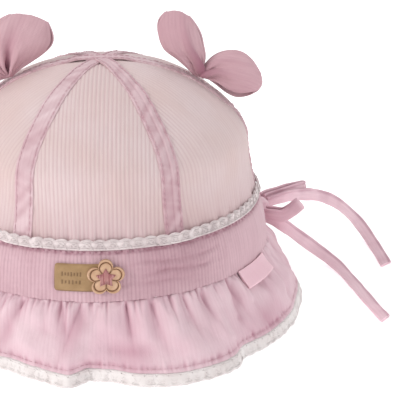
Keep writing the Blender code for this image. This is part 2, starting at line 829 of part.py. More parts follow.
def add_strap_loop(name, route, cloth):
    """A strap that runs out on one layer, folds over and comes back on the other."""
    points, wide, facing = strap_frame(route)
    along = points[-1] - points[-2]
    along /= np.linalg.norm(along)
    gap = LOOP_HALF_GAP
    swell = 1 + 0.35 * np.sin(np.pi * np.linspace(0.05, 0.9, len(points)))
    rows = [(points[i] + facing[i] * gap * swell[i], facing[i]) for i in range(len(points))]
    wides = list(wide)
    last = gap * swell[-1]
    for turn in (45, 90, 135):
        angle = math.radians(turn)
        reach = points[-1] + along * math.sin(angle) * last
        reach = reach + facing[-1] * math.cos(angle) * last
        outward = along * math.sin(angle) + facing[-1] * math.cos(angle)
        rows.append((reach, outward))
        wides.append(wide[-1])
    for i in range(len(points) - 1, -1, -1):
        rows.append((points[i] - facing[i] * gap * swell[i], -facing[i]))
        wides.append(wide[i])
    centres = np.array([row[0] for row in rows])
    facings = np.array([row[1] for row in rows])
    add_strap(name, centres, np.array(wides), facings, cloth)


def add_knot(cloth):
    """A rounded lump of the same tie, pinched a little round its waist."""
    rings = 7
    columns = 12
    points = [np.array([0.0, 0.0, -1.0])]
    for i in range(1, rings):
        rise = -math.cos(math.pi * i / rings)
        for j in range(columns):
            turn = 2 * math.pi * j / columns
            pinch = 1 - 0.1 * math.cos(3 * turn) * math.sin(math.pi * i / rings)
            flat = math.sin(math.pi * i / rings) * pinch
            points.append(np.array([math.cos(turn) * flat, math.sin(turn) * flat, rise]))
    points.append(np.array([0.0, 0.0, 1.0]))
    faces = []
    for j in range(columns):
        after = (j + 1) % columns
        faces.append((0, 1 + after, 1 + j))
        last = 1 + (rings - 2) * columns
        faces.append((last + j, last + after, len(points) - 1))
        for i in range(rings - 2):
            low = 1 + i * columns
            high = low + columns
            faces.append((low + j, low + after, high + after, high + j))
    size = np.array([0.85, 0.95, 1.15]) * KNOT_RADIUS
    flat = (np.array(points) * size + KNOT_PLACE) * MM
    mesh = bpy.data.meshes.new("tie_knot")
    mesh.from_pydata([tuple(point) for point in flat], [], faces)
    mesh.materials.append(cloth)
    for face in mesh.polygons:
        face.use_smooth = True
    obj = bpy.data.objects.new("tie_knot", mesh)
    bpy.context.scene.collection.objects.link(obj)


def add_tie(cloth):
    add_knot(cloth)
    add_strap("tie_tail_upper", *strap_frame(UPPER_TAIL), cloth)
    add_strap("tie_tail_lower", *strap_frame(LOWER_TAIL), cloth)
    add_strap_loop("tie_loop_upper", UPPER_LOOP, cloth)
    add_strap_loop("tie_loop_lower", LOWER_LOOP, cloth)


def build():
    clear_scene()
    crown_cloth = make_material("crown_cotton", "E0C8C8", 0.9)
    strip_cloth = make_material("strip_cotton", "D9B8C4", 0.9)
    band_cloth = make_material("band_cotton", "CFA5B5", 0.9)
    brim_cloth = make_material("brim_cotton", "E5C2D0", 0.9)
    bow_cloth = make_material("bow_cotton", "CBA3AF", 0.9)
    tie_cloth = make_material("tie_cotton", "D3A6B6", 0.9)
    label_cloth = make_material("label_cotton", "E7B9C8", 0.85)
    lace = make_material("cotton_lace", "DAD6D4", 0.9)
    leather = make_material("tanned_leather", "B0936B", 0.7)
    flower_leather = make_material("flower_leather", "D0A98A", 0.7)
    star_cloth = make_material("star_cotton", "D19A9A", 0.85)
    add_crown(crown_cloth)
    add_seam_strips(strip_cloth)
    add_lace_trim(lace)
    add_band(band_cloth)
    outer, inner = add_brim(brim_cloth)
    add_lace_edge(lace, outer, inner)
    add_bow("bow_right", RIGHT_PINCH_WAY, RIGHT_INNER_LOOP, RIGHT_OUTER_LOOP, 1, bow_cloth)
    add_bow("bow_left", LEFT_PINCH_WAY, LEFT_INNER_LOOP, RIGHT_OUTER_LOOP, -1, bow_cloth)
    add_patch(leather)
    add_flower(flower_leather, star_cloth)
    add_label(label_cloth)
    add_tie(tie_cloth)


build()
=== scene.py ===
# A baby's cotton sun hat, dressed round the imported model: ribbed cotton, lace, leather, a cloth tie.
# Lengths in the dictionaries are millimetres, angles are degrees round the hat from its front to +X.
import math

import bmesh
import bpy
import numpy as np
from mathutils import Matrix, Vector


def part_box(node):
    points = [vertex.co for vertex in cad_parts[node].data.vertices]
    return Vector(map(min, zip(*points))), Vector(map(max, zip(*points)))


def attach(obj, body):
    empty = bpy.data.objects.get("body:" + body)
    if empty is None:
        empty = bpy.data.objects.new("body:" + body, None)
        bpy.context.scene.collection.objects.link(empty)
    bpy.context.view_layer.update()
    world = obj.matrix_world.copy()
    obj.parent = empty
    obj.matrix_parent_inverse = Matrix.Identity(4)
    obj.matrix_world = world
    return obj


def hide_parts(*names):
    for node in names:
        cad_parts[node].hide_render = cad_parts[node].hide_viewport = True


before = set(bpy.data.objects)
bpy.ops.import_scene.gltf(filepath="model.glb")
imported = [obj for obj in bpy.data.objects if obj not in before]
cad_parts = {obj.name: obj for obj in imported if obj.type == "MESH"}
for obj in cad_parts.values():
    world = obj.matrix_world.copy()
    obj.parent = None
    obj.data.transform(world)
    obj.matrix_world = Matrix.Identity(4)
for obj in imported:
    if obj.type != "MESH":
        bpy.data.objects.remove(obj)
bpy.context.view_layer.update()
mm = 0.001

hat = {
    "crownRadius": 72.0,                                    # outside, at the crown's foot
    "crownFoot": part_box("crown_panel_1")[0].z / mm,
    "crownTop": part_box("seam_strips")[1].z / mm - 1.1,      # cloth under the strips at the pole
    "crownPuff": 0.7,                                       # how far a panel swells between its seams
    "clothWall": 1.2,
    "bandTop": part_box("band")[1].z / mm,
    "bandFoot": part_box("band")[0].z / mm,
    "bandStep": 0.6,                                        # band's top beyond the crown's foot
    "bandFlare": 5.0,
    "brimTop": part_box("brim")[1].z / mm,
    "brimHem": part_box("brim")[0].z / mm,
    "brimSpread": 14.9,
    "brimWave": 10.0,
}
seamAngles = (-30.0, 24.5, 90.0, 150.0, 210.0, 270.0)

# Share of the crown's radius, share of its rise.
crownOutline = np.array((
    (1.0, 0.0), (0.976, 0.128), (0.956, 0.283), (0.94, 0.451), (0.875, 0.591), (0.762, 0.711),
    (0.645, 0.809), (0.526, 0.885), (0.375, 0.947), (0.201, 0.988), (0.0, 1.0),
))
bandOutline = np.array(((0.0, 0.0), (0.12, 0.26), (0.5, 0.72), (1.0, 1.0)))
brimOutline = np.array(((0.0, 0.0), (0.14, 0.12), (0.36, 0.38), (0.66, 0.72), (1.0, 1.0)))

# Angle, how far the rim stands out as a share of brimWave.
brimWaves = (
    (-170, -0.15), (-150, 0.2), (-131, -0.15), (-112, 0.22), (-95, -0.02), (-78, 0.2),
    (-62, -0.15), (-48, 0.05), (-37, -0.45), (-30, -0.55), (-22, -0.3), (-15, 0.05), (-11, 0.2),
    (-6, -0.45), (0, -0.3), (6, 0.2), (11, 0.45), (18, 0.7), (27, 0.7), (33, 0.55), (40, 0.05),
    (48, 0.15), (60, 0.15), (75, 0.03), (88, 0.08), (101, -0.2), (114, -0.25), (128, 0.2),
    (143, -0.15), (158, 0.2), (172, 0.39),
)

# Angle, strength and how far it drifts on its way down: the folds that start at the band's seam.
brimFolds = (
    (-176, 1.0, 1), (-168, 0.8, -1), (-160, 1.1, 2), (-151, 0.9, 0), (-143, 1.0, -2), (-135, 0.8, 1),
    (-126, 1.1, 1), (-118, 0.9, -1), (-110, 1.0, 2), (-102, 0.8, -2), (-94, 1.1, 1), (-86, 0.9, -1),
    (-78, 1.0, 2), (-70, 0.9, 1), (-62, 1.1, -2), (-54, 0.8, 1), (-47, 1.0, -2), (-40, 0.9, -3),
    (-33, 1.0, -4), (-27, 1.1, -5), (-20.5, 0.9, 2), (-14.8, 1.0, 3), (-8.5, 1.2, -4),
    (-2.8, 0.9, -3), (5.6, 1.2, 1), (13.3, 1.1, 2), (18.5, 0.8, 0), (24, 1.1, 2), (30.5, 1.0, 3),
    (36.5, 0.8, 1), (42.2, 1.1, 3), (48.2, 1.0, 4), (55, 0.9, 2), (62, 1.0, 1), (69, 0.8, -1),
    (76, 1.1, 1), (83, 0.9, -2), (90, 1.0, 1), (98, 0.8, 2), (106, 1.1, -1), (114, 0.9, 1),
    (122, 1.0, 2), (130, 0.8, -2), (139, 1.1, 1), (148, 0.9, -1), (157, 1.0, 2), (166, 0.8, 1),
    (175, 1.0, -2),
)

# Long hollows in the brim: angle and share where each starts and ends, depth and half width in mm.
brimHollows = (
    (-27, 0.0, -33, 0.72, 3.0, 2.6), (-6.5, 0.0, -10.2, 0.62, 2.8, 3.0), (5.2, 0.0, 6.3, 0.44, 2.2, 1.3),
    (8.0, 0.0, 9.0, 0.3, 1.6, 0.9), (13.2, 0.0, 13.6, 0.5, 2.0, 1.4), (32.5, 0.05, 30.0, 0.5, 2.4, 3.6),
    (44.2, 0.05, 41.8, 0.6, 2.2, 1.5), (41.5, 0.6, 44.0, 0.9, 2.0, 2.0), (-15.2, 0.0, -13.5, 0.4, 2.0, 1.3),
    (1.0, 0.7, 9.0, 0.68, 1.6, 2.6), (-21.0, 0.42, -14.5, 0.5, 1.3, 1.8), (49.0, 0.5, 52.0, 0.9, 2.0, 2.2),
    (22.5, 0.0, 23.5, 0.35, 1.8, 1.2), (57.0, 0.35, 60.0, 0.9, 1.6, 2.4), (36.5, 0.4, 37.5, 0.85, 1.5, 2.2),
    (71.0, 0.0, 69.0, 0.7, 2.2, 2.4), (84.0, 0.0, 86.0, 0.6, 2.4, 2.2),
)

# Puffed places in the brim: angle, share, height in mm, reach in degrees, reach as a share.
brimPuffs = (
    (-31.0, 0.2, 1.8, 3.0, 0.2), (-21.5, 0.22, 1.9, 3.4, 0.16), (-22.5, 0.72, 1.9, 4.5, 0.2),
    (-1.0, 0.3, 2.2, 3.4, 0.2), (10.0, 0.32, 1.5, 2.0, 0.2), (-6.0, 0.85, 1.8, 5.0, 0.16),
    (18.5, 0.35, 2.0, 3.4, 0.24), (22.5, 0.72, 2.0, 5.0, 0.22), (34.5, 0.68, 1.7, 3.0, 0.24),
    (38.5, 0.2, 1.3, 2.4, 0.16), (-11.5, 0.2, 1.4, 2.0, 0.16), (46.5, 0.3, 1.4, 2.4, 0.24),
    (67.0, 0.6, 1.6, 5.0, 0.3),
)

# Painted shade in the brim: angle, share, strength, reach in degrees, reach as a share.
brimShades = (
    (53.0, 0.76, 0.42, 6.0, 0.2), (45.5, 0.3, 0.22, 2.6, 0.2), (-9.0, 0.36, 0.24, 3.2, 0.3),
    (6.0, 0.7, 0.26, 6.0, 0.1), (-31.5, 0.4, 0.26, 2.6, 0.3), (28.0, 0.28, 0.16, 3.4, 0.24),
    (-15.0, 0.3, 0.16, 2.6, 0.2), (60.0, 0.3, 0.18, 5.0, 0.3),
)


# Curves and places

def smoothThrough(x, xs, ys):                    # passes every point and never overshoots
    xs, ys = np.asarray(xs, float), np.asarray(ys, float)
    steps = np.diff(xs)
    slopes = np.diff(ys) / steps
    bends = np.zeros(len(xs))
    bends[0], bends[-1] = slopes[0], slopes[-1]
    for i in range(1, len(xs) - 1):
        if slopes[i - 1] * slopes[i] > 0:
            bends[i] = 2 * slopes[i - 1] * slopes[i] / (slopes[i - 1] + slopes[i])
    x = np.clip(np.asarray(x, float), xs[0], xs[-1])
    at = np.clip(np.searchsorted(xs, x, side="right") - 1, 0, len(xs) - 2)
    share = (x - xs[at]) / steps[at]
    rise = ys[at] * (2 * share**3 - 3 * share**2 + 1) + ys[at + 1] * (3 * share**2 - 2 * share**3)
    rise += bends[at] * steps[at] * (share**3 - 2 * share**2 + share)
    return rise + bends[at + 1] * steps[at] * (share**3 - share**2)


def roundTable(angle, table):                    # a table by angle, read all the way round
    angles = [row[0] for row in table]
    values = [row[1] for row in table]
    xs = [angles[-1] - 360] + angles + [angles[0] + 360]
    turned = (np.asarray(angle, float) - xs[0]) % 360 + xs[0]
    return smoothThrough(turned, xs, [values[-1]] + values + [values[0]])


def turnFrom(angle, middle):                     # degrees past a place, the short way round
    return (angle - middle + 180) % 360 - 180


def unit(vectors):
    return vectors / np.maximum(np.linalg.norm(vectors, axis=-1, keepdims=True), 1e-9)


def walkedTo(points):                            # the way walked along a line to each of its points
    return np.concatenate([[0], np.cumsum(np.linalg.norm(np.diff(points, axis=0), axis=1))])


def readAlong(spots, walked, columns):           # each column of a line's values, read at the spots
    return np.stack([np.interp(spots, walked, column) for column in columns.T], -1)


def splinePart(before, a, b, after, t):          # a smooth curve from a to b, by what lies each side
    return 0.5 * (2 * a + (b - before) * t + (2 * before - 5 * a + 4 * b - after) * t**2
                  + (3 * a - before - 3 * b + after) * t**3)


def placeAt(radius, angle, height):
    turn = np.radians(angle)
    return np.stack(np.broadcast_arrays(radius * np.sin(turn), -radius * np.cos(turn), height), -1)


def noiseAlong(x, size, seed):                   # soft random numbers from -1 to 1 along a line
    values = np.random.default_rng(seed).uniform(-1, 1, 4096)
    spot = np.asarray(x, float) / size
    low = np.floor(spot).astype(int)
    part = spot - low
    part = part * part * (3 - 2 * part)
    return values[low % 4096] * (1 - part) + values[(low + 1) % 4096] * part


def bell(x, middle, width):
    return np.exp(-(((x - middle) / width) ** 2))


def easeIn(x, low, high):
    share = np.clip((x - low) / (high - low), 0, 1)
    return share * share * (3 - 2 * share)


def crownWays():
    table = crownOutline * (hat["crownRadius"], hat["crownTop"] - hat["crownFoot"])
    lengths = np.hypot(*np.diff(table, axis=0).T)
    return np.concatenate([[0], np.cumsum(lengths)]) / lengths.sum(), lengths.sum()


crownWay, crownLength = crownWays()


def crownRadiusAt(way):
    return hat["crownRadius"] * smoothThrough(way, crownWay, crownOutline[:, 0])


def crownHeightAt(way):
    rise = hat["crownTop"] - hat["crownFoot"]
    return hat["crownFoot"] + rise * smoothThrough(way, crownWay, crownOutline[:, 1])


def crownPoint(angle, way):
    seams = np.array(seamAngles + (seamAngles[0] + 360,))
    turned = (np.asarray(angle, float) - seams[0]) % 360 + seams[0]
    across = np.interp(turned, seams, np.arange(len(seams))) % 1
    puff = hat["crownPuff"] * (1 - 2 * np.cos(np.pi * across) ** 4)
    puff = puff * np.sin(np.pi * np.clip(way, 0, 1)) ** 0.7
    return placeAt(crownRadiusAt(way) + puff, angle, crownHeightAt(way))


def crownOff(angle, way, out):                   # a point off the crown's face
    angle, way = np.broadcast_arrays(np.asarray(angle, float), np.asarray(way, float))
    step = 0.004
    along = crownPoint(angle, np.minimum(way + step, 1)) - crownPoint(angle, np.maximum(way - step, 0))
    facing = np.cross(placeAt(np.ones(angle.shape), angle + 90, 0.0), along)
    return crownPoint(angle, way) + unit(facing) * np.broadcast_to(out, angle.shape)[..., None]


def bandRadius(height):
    share = (hat["bandTop"] - height) / (hat["bandTop"] - hat["bandFoot"])
    flare = hat["bandFlare"] * smoothThrough(share, bandOutline[:, 0], bandOutline[:, 1])
    return hat["crownRadius"] + hat["bandStep"] + flare


def onBand(angle, middle, side, up, out):        # side and up in the band's face, out from it
    level = middle + up * 0.97
    radius = bandRadius(level) + out * 0.97
    return placeAt(radius, angle + np.degrees(side / bandRadius(middle)), level + out * 0.24)


def brimPoint(angle, share):
    spread = smoothThrough(share, brimOutline[:, 0], brimOutline[:, 1])
    radius = bandRadius(hat["bandFoot"]) - 0.3 + hat["brimSpread"] * spread
    wave = hat["brimWave"] * roundTable(angle, brimWaves) * np.clip(share, 0, 1) ** 1.15
    height = hat["brimTop"] - (hat["brimTop"] - hat["brimHem"]) * share
    return placeAt(radius + wave, angle, height)


def facingOf(grid, closedRound):                 # the way a grid of points faces, outwards
    along = np.gradient(grid, axis=0)
    if closedRound:
        across = np.roll(grid, -1, axis=1) - np.roll(grid, 1, axis=1)
    else:
        across = np.gradient(grid, axis=1)
    return unit(np.cross(across, along))


# Meshes

def linkMesh(name, mesh, material):
    mesh.materials.clear()
    mesh.materials.append(material)
    mesh.polygons.foreach_set("use_smooth", [True] * len(mesh.polygons))
    mesh.set_sharp_from_angle(angle=math.radians(55))
    piece = bpy.data.objects.new(name, mesh)
    bpy.context.scene.collection.objects.link(piece)
    return piece


def meshOf(name, points, faces):
    mesh = bpy.data.meshes.new(name)
    mesh.from_pydata((np.asarray(points) * mm).tolist(), [], faces)
    return mesh


def editMesh(mesh, change):
    work = bmesh.new()
    work.from_mesh(mesh)
    change(work)
    work.to_mesh(mesh)
    work.free()


def setMark(mesh, name, values):                 # a number on each point, for a material or a tree
    attribute = mesh.attributes.new(name, "FLOAT", "POINT")
    attribute.data.foreach_set("value", np.ravel(values).astype(np.float32))


def setUv(mesh, values):
    mesh.uv_layers.new(name="cloth").data.foreach_set("uv", np.ravel(values))


def pointOfCorners(mesh):
    spots = np.zeros(len(mesh.loops), int)
    mesh.loops.foreach_get("vertex_index", spots)
    return spots


def quadsOver(rows, columns, closedRound, kept=None):
    spots = np.arange(rows * columns).reshape(rows, columns)
    after = np.roll(spots, -1, axis=1) if closedRound else spots[:, 1:]
    here = spots if closedRound else spots[:, :-1]
    quads = np.stack([here[:-1], after[:-1], after[1:], here[1:]], -1)
    return quads.reshape(-1, 4) if kept is None else quads[kept]


def turnedOut(points, faces):                    # faces wound so that they point outwards
    triangles = np.concatenate([faces[:, [0, 1, 2]], faces[:, [0, 2, 3]]])
    return faces[:, ::-1] if np.linalg.det(points[triangles]).sum() < 0 else faces


def uvRound(across, along, turn):                # one column more, so that the last meets the first
    across, along = np.broadcast_arrays(across, along)
    return np.stack([np.hstack([across, across[:, :1] + turn]), np.hstack([along, along[:, :1]])], -1)


def addWall(name, front, back, uv, material, closedRound=False, kept=None, marks=None):
    # One closed wall of cloth, lace or leather: its face, its back and the edges between them.
    rows, columns = front.shape[:2]
    quads = quadsOver(rows, columns, closedRound, kept)
    behind = rows * columns
    starts = quads.ravel()
    ends = np.roll(quads, -1, axis=1).ravel()
    free = ~np.isin(starts * behind + ends, ends * behind + starts)
    starts, ends = starts[free], ends[free]
    rim = np.stack([ends, starts, starts + behind, ends + behind], -1)
    points = np.concatenate([front.reshape(-1, 3), back.reshape(-1, 3)])
    faces = turnedOut(points, np.concatenate([quads, quads[:, ::-1] + behind, rim]))
    mesh = meshOf(name, points, faces.tolist())
    flat = uv[:, :columns].reshape(-1, 2)[faces % behind]
    if closedRound:                              # the last column meets the first: carry u on
        turn = uv[0, columns, 0] - uv[0, 0, 0]
        wraps = flat[:, :, 0].max(axis=1) - flat[:, :, 0].min(axis=1) > turn / 2
        flat[:, :, 0] += turn * (wraps[:, None] & (flat[:, :, 0] < turn / 2))
    setUv(mesh, flat)
    for mark, values in (marks or {}).items():
        setMark(mesh, mark, [np.ravel(values)] * 2)
    if kept is not None:                         # points inside the openings hold no face
        editMesh(mesh, lambda work: bmesh.ops.delete(
            work, geom=[v for v in work.verts if not v.link_faces], context="VERTS"))
    mesh.update()
    return linkMesh(name, mesh, material)


def addDisc(name, front, back, tips, material):  # rings of points, face and back closed by their tips
    rows, columns = front.shape[:2]
    behind, top = rows * columns, rows * columns + back.shape[0] * columns
    quads = quadsOver(rows, columns, True)
    faces = quads.tolist()
    if len(back) == rows:
        faces += (quads[:, ::-1] + behind).tolist()
    for i in range(columns):
        after = (i + 1) % columns
        faces.append([behind - columns + i, behind - columns + after, top])
        faces.append([top - columns + after, top - columns + i, top + 1])
        faces.append([after, i, behind + i, behind + after])
    points = np.concatenate([front.reshape(-1, 3), back.reshape(-1, 3), tips])
    return linkMesh(name, meshOf(name, points, faces), material)


def tubeParts(path, radius, sides):              # points and quads of a round thread, open ended
    along = unit(np.gradient(path, axis=0))
    side = unit(np.cross(along, (0.0, 0.0, 1.0)))
    up = np.cross(side, along)
    turns = np.arange(sides) * 2 * math.pi / sides
    taper = np.ones(len(path))
    taper[[0, -1]] = 0.35
    ring = side[:, None] * np.cos(turns)[:, None] + up[:, None] * np.sin(turns)[:, None]
    points = path[:, None] + ring * (radius * taper)[:, None, None]
    return points.reshape(-1, 3), quadsOver(len(path), sides, True)


def threadsMesh(name, paths, radius, sides=4):   # several threads in one mesh, ends closed
    points, faces, count = [], [], 0
    for path in paths:
        spots, quads = tubeParts(path, radius, sides)
        points.append(spots)
        faces += (quads + count).tolist()
        faces.append([count + i for i in range(sides)][::-1])
        faces.append([count + len(spots) - sides + i for i in range(sides)])
        count += len(spots)
    return meshOf(name, np.concatenate(points), faces)


def dress(piece, node=None):               # hides the solid that the piece stands for, and hangs the piece on the root
    if node:
        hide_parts(node)
    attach(piece, "root")
    return piece


# Nodes

def addNode(tree, kind, links=(), **settings):   # a linked node gives its first output
    node = tree.nodes.new(kind)
    for name, value in settings.items():
        setattr(node, name, value)
    for socket, value in dict(links).items():
        if isinstance(value, bpy.types.Node):
            value = value.outputs[0]
        if isinstance(value, bpy.types.NodeSocket):
            tree.links.new(value, node.inputs[socket])
        else:
            node.inputs[socket].default_value = value
    return node


def newTree(name, inputs):
    tree = bpy.data.node_groups.new(name, "GeometryNodeTree")
    tree.interface.new_socket("Geometry", in_out="INPUT", socket_type="NodeSocketGeometry")
    for label, kind in inputs:
        tree.interface.new_socket(label, in_out="INPUT", socket_type="NodeSocket" + kind)
    tree.interface.new_socket("Geometry", in_out="OUTPUT", socket_type="NodeSocketGeometry")
    return tree, addNode(tree, "NodeGroupInput").outputs


def endTree(tree, geometry, material):           # real geometry with its material
    real = addNode(tree, "GeometryNodeRealizeInstances", {0: geometry})
    painted = addNode(tree, "GeometryNodeSetMaterial", {"Geometry": real, "Material": material})
    addNode(tree, "NodeGroupOutput", {0: painted})


def crinkleTree():
    # Ribs along the cloth's own length and soft random creases, both along the face's normal.
    tree, given = newTree("clothCrinkle", (
        ("Rib Pitch", "Float"), ("Rib Depth", "Float"), ("Crease Size", "Float"),
        ("Crease Stretch", "Float"), ("Crease Depth", "Float"), ("Seed", "Float"), ("Material", "Material"),
    ))
    across, along, mask = [
        addNode(tree, "GeometryNodeInputNamedAttribute", {"Name": name}, data_type="FLOAT")
        for name in ("across", "along", "crinkle")
    ]
    driftX = addNode(tree, "ShaderNodeMath", {0: across, 1: 0.09}, operation="MULTIPLY")
    driftY = addNode(tree, "ShaderNodeMath", {0: along, 1: 0.05}, operation="MULTIPLY")
    drift = addNode(tree, "ShaderNodeCombineXYZ", {0: driftX, 1: driftY, 2: given["Seed"]})
    wander = addNode(tree, "ShaderNodeTexNoise", {"Vector": drift, "Scale": 1.0, "Detail": 1.0})
    turns = addNode(tree, "ShaderNodeMath", {0: across, 1: given["Rib Pitch"]}, operation="DIVIDE")
    wander = addNode(tree, "ShaderNodeMath", {0: wander, 1: 0.06}, operation="MULTIPLY")
    turns = addNode(tree, "ShaderNodeMath", {0: turns, 1: wander}, operation="ADD")
    turns = addNode(tree, "ShaderNodeMath", {0: turns, 1: 2 * math.pi}, operation="MULTIPLY")
    ribs = addNode(tree, "ShaderNodeMath", {0: turns}, operation="SINE")
    ribs = addNode(tree, "ShaderNodeMath", {0: ribs, 1: given["Rib Depth"]}, operation="MULTIPLY")
    size, stretch = given["Crease Size"], given["Crease Stretch"]
    stretched = addNode(tree, "ShaderNodeMath", {0: size, 1: stretch}, operation="MULTIPLY")
    spotX = addNode(tree, "ShaderNodeMath", {0: across, 1: size}, operation="DIVIDE")
    spotY = addNode(tree, "ShaderNodeMath", {0: along, 1: stretched}, operation="DIVIDE")
    spot = addNode(tree, "ShaderNodeCombineXYZ", {0: spotX, 1: spotY, 2: given["Seed"]})
    noise = addNode(tree, "ShaderNodeTexNoise", {"Vector": spot, "Scale": 1.0, "Detail": 3.0})
    creases = addNode(tree, "ShaderNodeMath", {0: noise, 1: 0.5}, operation="SUBTRACT")
    creases = addNode(tree, "ShaderNodeMath", {0: creases, 1: given["Crease Depth"]}, operation="MULTIPLY")
    height = addNode(tree, "ShaderNodeMath", {0: ribs, 1: creases}, operation="ADD")
    height = addNode(tree, "ShaderNodeMath", {0: height, 1: mask}, operation="MULTIPLY")
    height = addNode(tree, "ShaderNodeMath", {0: height, 1: mm}, operation="MULTIPLY")
    normal = addNode(tree, "GeometryNodeInputNormal")
    offset = addNode(tree, "ShaderNodeVectorMath", {0: normal, "Scale": height}, operation="SCALE")
    moved = addNode(tree, "GeometryNodeSetPosition", {"Geometry": given[0], "Offset": offset})
    endTree(tree, moved, given["Material"])
    return tree


def motifTree():
    # One motif set on every point, turned to the point's own directions.
    tree, given = newTree("motifOnPoints", (
        ("Motif", "Object"), ("Size Jitter", "Float"), ("Seed", "Int"), ("Material", "Material"),
    ))
    facing, along, size = [
        addNode(tree, "GeometryNodeInputNamedAttribute", {"Name": name}, data_type="FLOAT_VECTOR")
        for name in ("facing", "along", "size")
    ]
    axes = {"primary_axis": "Z", "secondary_axis": "X"}
    turn = addNode(tree, "FunctionNodeAxesToRotation", {0: facing, 1: along}, **axes)
    low = addNode(tree, "ShaderNodeMath", {0: 1.0, 1: given["Size Jitter"]}, operation="SUBTRACT")
    high = addNode(tree, "ShaderNodeMath", {0: 1.0, 1: given["Size Jitter"]}, operation="ADD")
    sizes = {2: low, 3: high, "Seed": given["Seed"]}
    chance = addNode(tree, "FunctionNodeRandomValue", sizes, data_type="FLOAT")
    scale = addNode(tree, "ShaderNodeVectorMath", {0: size, "Scale": chance.outputs[1]}, operation="SCALE")
    motif = addNode(tree, "GeometryNodeObjectInfo", {"Object": given["Motif"]}).outputs["Geometry"]
    placed = addNode(tree, "GeometryNodeInstanceOnPoints", {
        "Points": given[0], "Instance": motif, "Rotation": turn, "Scale": scale})
    endTree(tree, placed, given["Material"])
    return tree


def runTree(piece, tree, values):                # the tree's result becomes the piece's plain mesh
    modifier = piece.modifiers.new(tree.name, "NODES")
    modifier.node_group = tree
    for item in tree.interface.items_tree:
        if item.in_out == "INPUT" and item.name in values:
            modifier[item.identifier] = values[item.name]
    bpy.context.view_layer.update()
    graph = bpy.context.evaluated_depsgraph_get()
    made = bpy.data.meshes.new_from_object(piece.evaluated_get(graph), depsgraph=graph)
    piece.modifiers.remove(modifier)
    piece.data = made
    made.polygons.foreach_set("use_smooth", [True] * len(made.polygons))
    made.update()
    return piece


def crinkle(piece, look, seed):
    runTree(piece, clothCrinkle, {
        "Rib Pitch": look["ribPitch"], "Rib Depth": look["ribDepth"], "Crease Size": look["creaseSize"],
        "Crease Stretch": look["creaseStretch"], "Crease Depth": look["creaseDepth"], "Seed": float(seed),
        "Material": piece.data.materials[0],
    })


def clothMarks(*marks):                          # for the crinkle tree and the cotton
    return dict(zip(("across", "along", "crinkle", "tone"), np.broadcast_arrays(*marks)))


def setMotifs(name, motif, places, facings, alongs, sizes, material, jitter, seed):
    places = np.asarray(places, float)
    mesh = meshOf(name, places, [])
    for label, values in (("facing", facings), ("along", alongs), ("size", sizes)):
        values = np.broadcast_to(np.asarray(values, float), places.shape)
        attribute = mesh.attributes.new(label, "FLOAT_VECTOR", "POINT")
        attribute.data.foreach_set("vector", values.astype(np.float32).ravel())
    piece = bpy.data.objects.new(name, mesh)
    helper = bpy.data.objects.new(name + "Motif", motif)
    for made in (piece, helper):
        bpy.context.scene.collection.objects.link(made)
    runTree(piece, motifOnPoints, {
        "Motif": helper, "Size Jitter": jitter, "Seed": seed, "Material": material})
    bpy.data.objects.remove(helper)
    return piece


clothCrinkle = crinkleTree()
motifOnPoints = motifTree()


# Materials

def toLinear(hexColour):                         # sRGB hex to the linear colour that Blender keeps
    parts = [int(hexColour[i : i + 2], 16) / 255 for i in (0, 2, 4)]
    return [c / 12.92 if c <= 0.04045 else ((c + 0.055) / 1.055) ** 2.4 for c in parts] + [1.0]


def newMaterial(name, colour, roughness):
    material = bpy.data.materials.new(name)
    material.use_nodes = True
    tree = material.node_tree
    shader = tree.nodes["Principled BSDF"]
    shader.inputs["Base Color"].default_value = toLinear(colour)
    shader.inputs["Roughness"].default_value = roughness
    shader.inputs["IOR"].default_value = 1.5
    material.diffuse_color = toLinear(colour)
    return material, tree, shader


